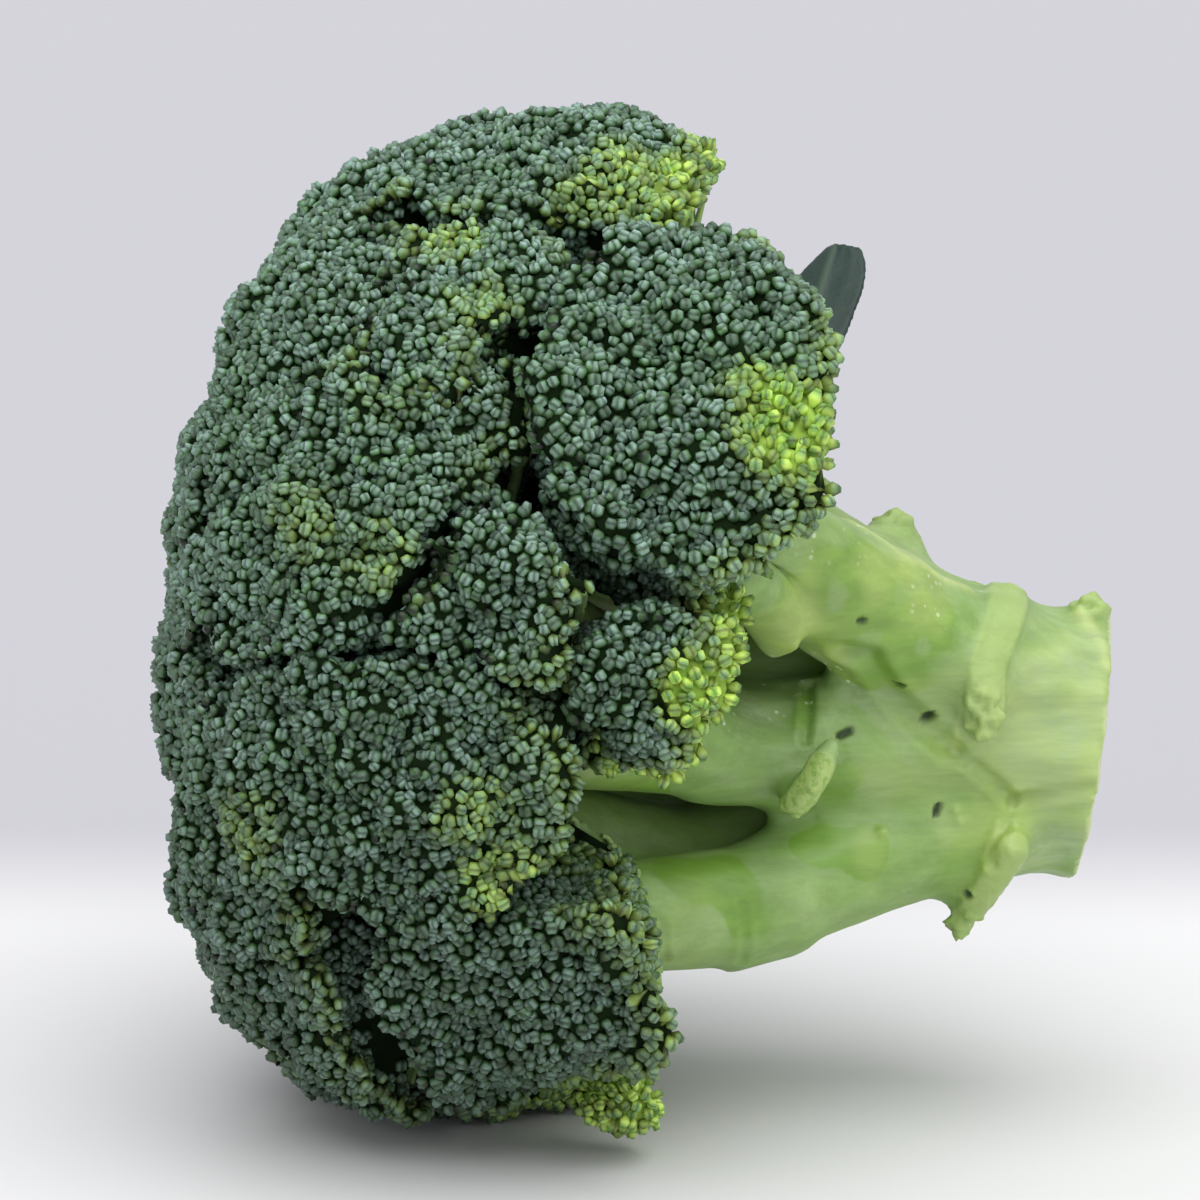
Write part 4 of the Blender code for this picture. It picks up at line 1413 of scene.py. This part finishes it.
@dataclass
class Stalk:
    """The trunk and its branches. Lengths are in millimetres."""

    voxel: float = 1.2
    softening: int = 6
    fine_reach: float = 4.5
    qualities: tuple[str, ...] = ("scar", "pore", "cut", "pith", "pale", "rubbed", "waxy", "specked")
    marks: tuple[Mark, ...] = (
        Mark(MarkKind.SCAR, ((17.5, 27, 10), (18.5, 30, 36), (21, 31, 60), (20, 30.5, 84)), 3.2, 0.5),
        Mark(MarkKind.TEAR, ((21, 31, 74), (20, 30.5, 86)), 3.6, 1.5),
        Mark(MarkKind.RIB, ((23.5, 26, 74), (24.1, 22.9, 81), (24.1, 22.8, 90)), 1.2, 0.5),
        Mark(MarkKind.SCAR, ((46.5, 37, 94), (47.5, 38, 98), (50, 37.5, 109)), 2.3, 0.5, 1.0),
        Mark(MarkKind.SCAR, ((17.5, 27.5, 4), (17.5, 28, 16)), 2.6, 0.3, 1.0),
        Mark(MarkKind.SCAR, ((12, 29.5, 118), (15, 31.5, 138), (19, 36.5, 160)), 2.8, 0.5),
        Mark(MarkKind.TEAR, ((17.5, 34.5, 151), (19.5, 37, 162)), 3.6, 1.5),
        Mark(MarkKind.SCAR, ((38.3, 37, 352), (39.5, 36, 353)), 3.4, 0.6),
        Mark(MarkKind.TEAR, ((38.3, 37, 350), (39.5, 36, 354)), 4.0, 1.2),
        Mark(MarkKind.SCAR, ((5, 25.3, 8), (2, 27.3, 14)), 2.8, 0.5),
        Mark(MarkKind.TEAR, ((3, 26.5, 10), (1, 27.3, 16)), 3.0, 1.4),
        Mark(MarkKind.RIB, ((5.5, 23.1, 16), (2.6, 22.8, 32), (0.8, 22.6, 46)), 1.3, 0.7),
        Mark(MarkKind.RIB, ((46, 42, 34), (42.2, 40.4, 36), (37.5, 40.1, 40), (31.2, 35.3, 38),
                            (25.5, 30.5, 34)), 1.5, 0.45),
        Mark(MarkKind.SEAM, ((24.1, 22.8, 89), (18.6, 22.3, 99), (13.4, 21.8, 109), (6.1, 22.0, 102),
                             (0.5, 22.2, 98)), 1.1, 0.8),
        Mark(MarkKind.SEAM, ((13.4, 21.8, 109), (14.2, 25.5, 118), (15.6, 28.7, 127)), 0.9, 0.5),
        Mark(MarkKind.SEAM, ((48.9, 20.7, 69), (49.2, 25.6, 78), (48.6, 30.5, 88)), 0.9, 0.7),
        Mark(MarkKind.SEAM, ((70.5, 52, 119), (68, 50.5, 127), (66.5, 53, 135)), 0.8, 0.35),
        Mark(MarkKind.SEAM, ((44.5, 34.3, 64), (40.7, 33.8, 64), (36.0, 25.9, 70), (30.3, 23.3, 80),
                             (24.9, 22.9, 89)), 1.7, 1.2),
        Mark(MarkKind.SEAM, ((55.3, 43.4, 129), (54.2, 46.5, 134), (53.9, 48.0, 141)), 0.8, 0.35),
        Mark(MarkKind.PORE, ((28.8, 23.1, 76), (29.5, 23.1, 78)), 0.85, 1.1),
        Mark(MarkKind.PORE, ((41.4, 26.0, 86), (43.2, 25.6, 89)), 0.75, 0.8),
        Mark(MarkKind.PORE, ((34.3, 28.0, 68), (35.3, 28.0, 69)), 0.6, 0.8),
        Mark(MarkKind.PORE, ((42.2, 39.1, 58), (43.1, 39.1, 58)), 0.55, 0.7),
        Mark(MarkKind.PORE, ((25.3, 23.5, 114), (25.7, 23.5, 118)), 0.65, 0.8),
        Mark(MarkKind.PORE, ((18.3, 30.5, 141),), 0.9, 0.8),
        Mark(MarkKind.KNOB, ((22.5, 23.2, 115),), 1.0, 0.8),
        Mark(MarkKind.KNOB, ((21.5, 24.2, 119),), 0.9, 0.7),
        Mark(MarkKind.KNOB, ((33.8, 27.9, 121),), 0.9, 0.6),
        Mark(MarkKind.SCAR, ((20, 27, 205), (22, 28, 225), (25, 28, 248), (27, 27, 266)), 3.2, 1.6),
        Mark(MarkKind.SCAR, ((12, 25, 285), (15, 27, 305), (20, 28, 322)), 2.8, 1.4),
        Mark(MarkKind.SEAM, ((27, 26, 266), (20, 24, 272), (10, 23, 268), (2, 23, 262)), 0.9, 0.5),
        Mark(MarkKind.PORE, ((34, 27, 240),), 0.9, 0.8),
        Mark(MarkKind.PORE, ((30, 27, 300),), 0.8, 0.8),
    )
    patches: tuple[Patch, ...] = (
        Patch("rubbed", (60, 42, 125), 9, 1.0), Patch("rubbed", (44, 31.5, 125), 6, 1.0),
        Patch("rubbed", (37, 31, 125), 5, 1.0), Patch("rubbed", (37, 33, 63), 9, 1.0),
        Patch("rubbed", (46, 38, 64), 8, 0.9), Patch("rubbed", (74, 39, 105), 6, 0.9),
        Patch("rubbed", (43, 27, 107), 4, 0.9), Patch("waxy", (6, 23, 130), 8, 0.9),
        Patch("rubbed", (41, 41, 53), 13, 0.6), Patch("rubbed", (30.2, 33.3, 50), 9, 0.5),
        Patch("rubbed", (52, 47, 60), 10, 0.5), Patch("pale", (15, 24, 90), 30, 0.5),
        # The pale patch at (55, 42, 66) is a painted highlight where the arch under the upper branch turns to
        # the light; the other pale patches yellow the flesh.
        Patch("pale", (55, 42, 66), 12, 0.45), Patch("pale", (46, 31, 64), 8, 0.45),
        Patch("pale", (34, 38, 40), 16, 0.45), Patch("waxy", (44, 27, 85), 20, 0.35),
        Patch("waxy", (12, 24, 60), 20, 0.2), Patch("waxy", (66, 38, 96), 14, 0.2),
        Patch("specked", (57, 28, 74), 18, 1.0), Patch("specked", (34, 37, 38), 17, 1.0),
        Patch("specked", (50, 45, 40), 14, 0.6), Patch("rubbed", (30, 28, 250), 14, 0.7),
        Patch("pale", (20, 24, 250), 25, 0.4), Patch("specked", (40, 30, 250), 25, 0.6),
    )
    pulls: tuple[Pull, ...] = (
        Pull((64.5, 46.5, 69), 16, (0, 0, 5.5)), Pull((56, 46, 69), 13, (0, 0, 4.5)),
        Pull((72, 52, 70), 12, (0, 0, 3.0)), Pull((57, 27, 75), 13, (0, 3.5, -1.5)),
        Pull((29, 26, 62), 12, (0, -1.5, 1.0)), Pull((19.5, 37, 161), 7, (-1.0, -1.5, -1.5)),
    )
    swell_size: float = 16.0
    swell_rise: float = 0.35
    ripple_size: float = 5.0
    ripple_rise: float = 0.12
    rough_size: float = 1.1
    fray_size: float = 2.3
    rag_size: float = 7.0
    cut_depth: float = 0.6
    ring_radius: float = 19.0
    ring_width: float = 1.1
    pith_radii: tuple[float, float] = (14.0, 17.0)

    def build(self) -> bpy.types.Object:
        """Makes and dresses the stalk.

        Returns:
            The piece.
        """
        stalk = remeshed_copy("stalk", "stalk_flesh", self.voxel, self.softening)
        self.pull(stalk)
        self.lines = [self.on_surface(mark.spots, stalk) for mark in self.marks]
        self.refine(stalk)
        self.carve(stalk)
        stalk.data.materials.append(StalkFinish().build())
        hand_over(stalk, ["stalk"])
        return stalk

    def pull(self, stalk: bpy.types.Object) -> None:
        """Moves the flesh at each pull."""
        points = read_points(stalk.data)
        moved = points.copy()
        for pull in self.pulls:
            away = PLANT.away(points, pull.spot)
            share = 1 - smooth_step(away, 0.3 * pull.reach, pull.reach)
            moved += share[:, None] * np.array(pull.shift) * MM
        write_points(stalk.data, moved)

    def on_surface(self, spots: tuple[Place, ...], stalk: bpy.types.Object) -> np.ndarray:
        """Rows of world places, each moved to the nearest point of the stalk's skin."""
        return np.array([stalk.closest_point_on_mesh(Vector(PLANT.place(spot)))[1] for spot in spots])

    def away(self, points: np.ndarray, line: np.ndarray) -> np.ndarray:
        """Distance in millimetres from each point to a line of places."""
        if len(line) == 1:
            return np.linalg.norm(points - line[0], axis=1) / MM
        found = np.full(len(points), np.inf)
        for start, end in zip(line, line[1:]):
            span = end - start
            share = np.clip((points - start) @ span / (span @ span), 0, 1)
            found = np.minimum(found, np.linalg.norm(points - start - share[:, None] * span, axis=1))
        return found / MM

    def refine(self, stalk: bpy.types.Object) -> None:
        """Cuts the faces near the marks finer."""
        points = read_points(stalk.data)
        near = np.zeros(len(points), bool)
        for line in self.lines:
            near |= self.away(points, line) < self.fine_reach
        builder = bmesh.new()
        builder.from_mesh(stalk.data)
        builder.verts.ensure_lookup_table()
        edges = [edge for edge in builder.edges if near[edge.verts[0].index] and near[edge.verts[1].index]]
        bmesh.ops.subdivide_edges(builder, edges=edges, cuts=1, use_grid_fill=True)
        bmesh.ops.triangulate(builder, faces=[face for face in builder.faces if len(face.verts) > 4])
        builder.to_mesh(stalk.data)
        builder.free()

    def carve(self, stalk: bpy.types.Object) -> None:
        """Raises and sinks the marks and stores what the finish reads."""
        mesh = stalk.data
        points = read_points(mesh)
        normals = read_normals(mesh)
        lift = self.swell_rise * noise_at(points, self.swell_size)
        lift = lift + self.ripple_rise * noise_at(points, self.ripple_size, 9.0)
        rough = noise_at(points, self.rough_size, 4.0)
        frayed = noise_at(points, self.fray_size, 6.0) + 0.5 * rough
        known = {key: np.zeros(len(points)) for key in self.qualities}
        for mark, line in zip(self.marks, self.lines):
            away = self.away(points, line) / mark.width
            if mark.kind is MarkKind.SCAR:
                inside = 1 - smooth_step(away, 0.75, 1.2)
                rim = bell(away, 0.95, 0.22)
                lift += mark.height * (0.55 * inside + 0.5 * rim) + 0.16 * rough * inside
                known["scar"] = np.maximum(known["scar"], mark.strength * inside)
            elif mark.kind is MarkKind.SEAM:
                lift -= mark.height * bell(away)
                lift += 0.4 * mark.height * bell(away, 1.8, 0.7)
            elif mark.kind is MarkKind.RIB:
                lift += mark.height * bell(away)
                # The rib's crest is also painted pale yellow: a painted highlight along the raised line.
                known["pale"] = np.maximum(known["pale"], bell(away))
            elif mark.kind is MarkKind.TEAR:
                lift += mark.height * frayed * (1 - smooth_step(away, 0.6, 1.1))
            elif mark.kind is MarkKind.PORE:
                lift -= mark.height * np.exp(-away ** 4)
                lift += 0.3 * mark.height * bell(away, 1.3, 0.35)
                # The pore is also painted near-black as shade.
                known["pore"] = np.maximum(known["pore"], np.exp(-away ** 4))
            else:
                lift += mark.height * bell(away)
                known["scar"] = np.maximum(known["scar"], 0.6 * bell(away))
        ragged = noise_at(points, self.rag_size, 2.0)
        for patch in self.patches:
            away = PLANT.away(points, patch.spot) + 0.6 * patch.reach * ragged
            soft = patch.strength * (1 - smooth_step(away, 0.35 * patch.reach, patch.reach))
            known[patch.quality] = np.maximum(known[patch.quality], soft)
        along, out, _ = PLANT.read(points)
        face = (along < self.cut_depth) & (normals @ -PLANT.axis > 0.5)
        known["cut"] = face.astype(float)
        ring = bell(out, self.ring_radius, self.ring_width)
        known["pith"] = np.clip(1 - smooth_step(out, *self.pith_radii) + 0.7 * ring, 0, 1)
        lift = np.where(face, -0.35 * ring + 0.2 * noise_at(points, 2.4, 2.0), lift)
        write_points(mesh, points + normals * lift[:, None] * MM)
        for key, values in known.items():
            write_attribute(mesh, key, values)


@dataclass
class Leaves:
    """The two small leaves among the florets. Lengths are in millimetres."""

    voxel: float = 0.5
    rib_width: float = 0.7
    rib_rise: float = 0.25
    softening: int = 4
    straight: float = 0.5
    curl: float = 1.6
    vein_spacing: float = 5.2
    vein_slant: float = 0.8
    wave_size: float = 6.0
    wave_rise: float = 0.2

    def build(self) -> list[bpy.types.Object]:
        """Makes and dresses both leaves.

        Returns:
            The pieces.
        """
        finish = LeafFinish().build()
        pieces = []
        for node in ("leaf_low", "leaf_rear"):
            leaf = remeshed_copy(node, f"{node}_blade", self.voxel, self.softening)
            self.vein(leaf)
            leaf.data.materials.append(finish)
            hand_over(leaf, [node])
            pieces.append(leaf)
        return pieces

    def vein(self, leaf: bpy.types.Object) -> None:
        """Rounds the blade's ends, curls and waves it, and raises the midrib and side veins."""
        points = read_points(leaf.data)
        normals = read_normals(leaf.data)
        middle = points.mean(axis=0)
        directions = np.linalg.svd(points - middle, full_matrices=False)[2]
        length = (points - middle) @ directions[0] / MM
        across = (points - middle) @ directions[1] / MM
        end = np.clip((np.abs(length) / np.abs(length).max() - self.straight) / (1 - self.straight), 0, 1)
        narrow = (np.sqrt(1 - 0.96 * end ** 2) - 1) * across
        curl = self.curl * (across / np.abs(across).max()) ** 2
        points = points + (narrow[:, None] * directions[1] + curl[:, None] * directions[2]) * MM
        midrib = bell(across, 0.0, self.rib_width)
        side = np.cos(2 * math.pi * (length - self.vein_slant * np.abs(across)) / self.vein_spacing)
        veins = np.exp(-((1 - side) / 0.12)) * smooth_step(np.abs(across), 0.5, 1.5) * 0.1
        rib = np.clip(midrib + veins, 0, 1)
        lift = self.rib_rise * rib + self.wave_rise * noise_at(points, self.wave_size)
        write_points(leaf.data, points + normals * lift[:, None] * MM)
        write_attribute(leaf.data, "rib", rib)


@dataclass(frozen=True)
class SoftLight:
    """A wide soft light: its name, where it comes from, degrees of sky and watts on a square metre."""

    name: str
    source: tuple[float, float, float]
    spread: float
    strength: float


@dataclass
class Studio:
    """The camera, the pale floor and soft lights. The distance is in millimetres, the floor in metres."""

    distance: float = 900.0
    elevation: float = 9.0
    picture_scale: float = 0.165
    picture_middle: tuple[float, float] = (600.0, 600.0)
    cut_in_picture: tuple[float, float] = (1092.0, 745.0)
    picture_width: float = 1200.0
    sensor: float = 36.0
    floor_size: float = 60.0
    background: Colour = (0.65, 0.65, 0.685)
    lights: tuple[SoftLight, ...] = (SoftLight("key", (0.0, -0.42, 1.0), 70.0, 2.25),
                                     SoftLight("side", (0.7, -0.9, 0.5), 80.0, 0.45))

    def build(self) -> None:
        """Sets up everything round the head."""
        self.add_camera()
        self.add_floor()
        self.add_world()
        for light in self.lights:
            self.add_light(light)
        bpy.context.scene.view_settings.view_transform = "Standard"

    def aim(self) -> np.ndarray:
        """World place at the middle of the picture, in metres."""
        tilt = math.radians(self.elevation)
        sideways = (self.picture_middle[0] - self.cut_in_picture[0]) * self.picture_scale
        upwards = (self.cut_in_picture[1] - self.picture_middle[1]) * self.picture_scale / math.cos(tilt)
        return (PLANT.cut + np.array([sideways, 0.0, upwards])) * MM

    def add_camera(self) -> None:
        """Looks at the head from the front, a little from above."""
        tilt = math.radians(self.elevation)
        forward = Vector((0.0, math.cos(tilt), -math.sin(tilt)))
        data = bpy.data.cameras.new("camera")
        data.sensor_width = self.sensor
        data.lens = self.sensor * self.distance / (self.picture_width * self.picture_scale)
        camera = bpy.data.objects.new("camera", data)
        camera.location = Vector(self.aim()) - forward * self.distance * MM
        camera.rotation_euler = forward.to_track_quat("-Z", "Y").to_euler()
        bpy.context.scene.collection.objects.link(camera)
        bpy.context.scene.camera = camera

    def add_floor(self) -> None:
        """A wide flat floor."""
        half = self.floor_size / 2
        mesh = bpy.data.meshes.new("floor")
        corners = [(-half, -half, 0), (half, -half, 0), (half, half, 0), (-half, half, 0)]
        mesh.from_pydata(corners, [], [(0, 1, 2, 3)])
        floor = new_object("floor", mesh)
        floor.data.materials.append(FloorFinish().build())

    def add_world(self) -> None:
        """An even pale surround."""
        world = bpy.data.worlds.new("surround")
        world.use_nodes = True
        world.node_tree.nodes["Background"].inputs["Color"].default_value = rgba(self.background)
        bpy.context.scene.world = world

    def add_light(self, light: SoftLight) -> None:
        """Hangs a light that reaches the whole floor alike.

        Args:
            light: what it is like.
        """
        data = bpy.data.lights.new(light.name, "SUN")
        data.angle = math.radians(light.spread)
        data.energy = light.strength
        lamp = bpy.data.objects.new(light.name, data)
        lamp.rotation_euler = Vector(light.source).to_track_quat("Z", "Y").to_euler()
        bpy.context.scene.collection.objects.link(lamp)


def main() -> None:
    """Builds every piece in order."""
    logging.basicConfig(level=logging.INFO, format="%(name)s: %(message)s")
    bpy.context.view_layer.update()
    Studio().build()
    Stalk().build()
    Leaves().build()
    pieces = Florets().build()
    LOG.info("florets: %d triangles", sum(triangle_count(piece) for piece in pieces))


if __name__ == "__main__":
    main()
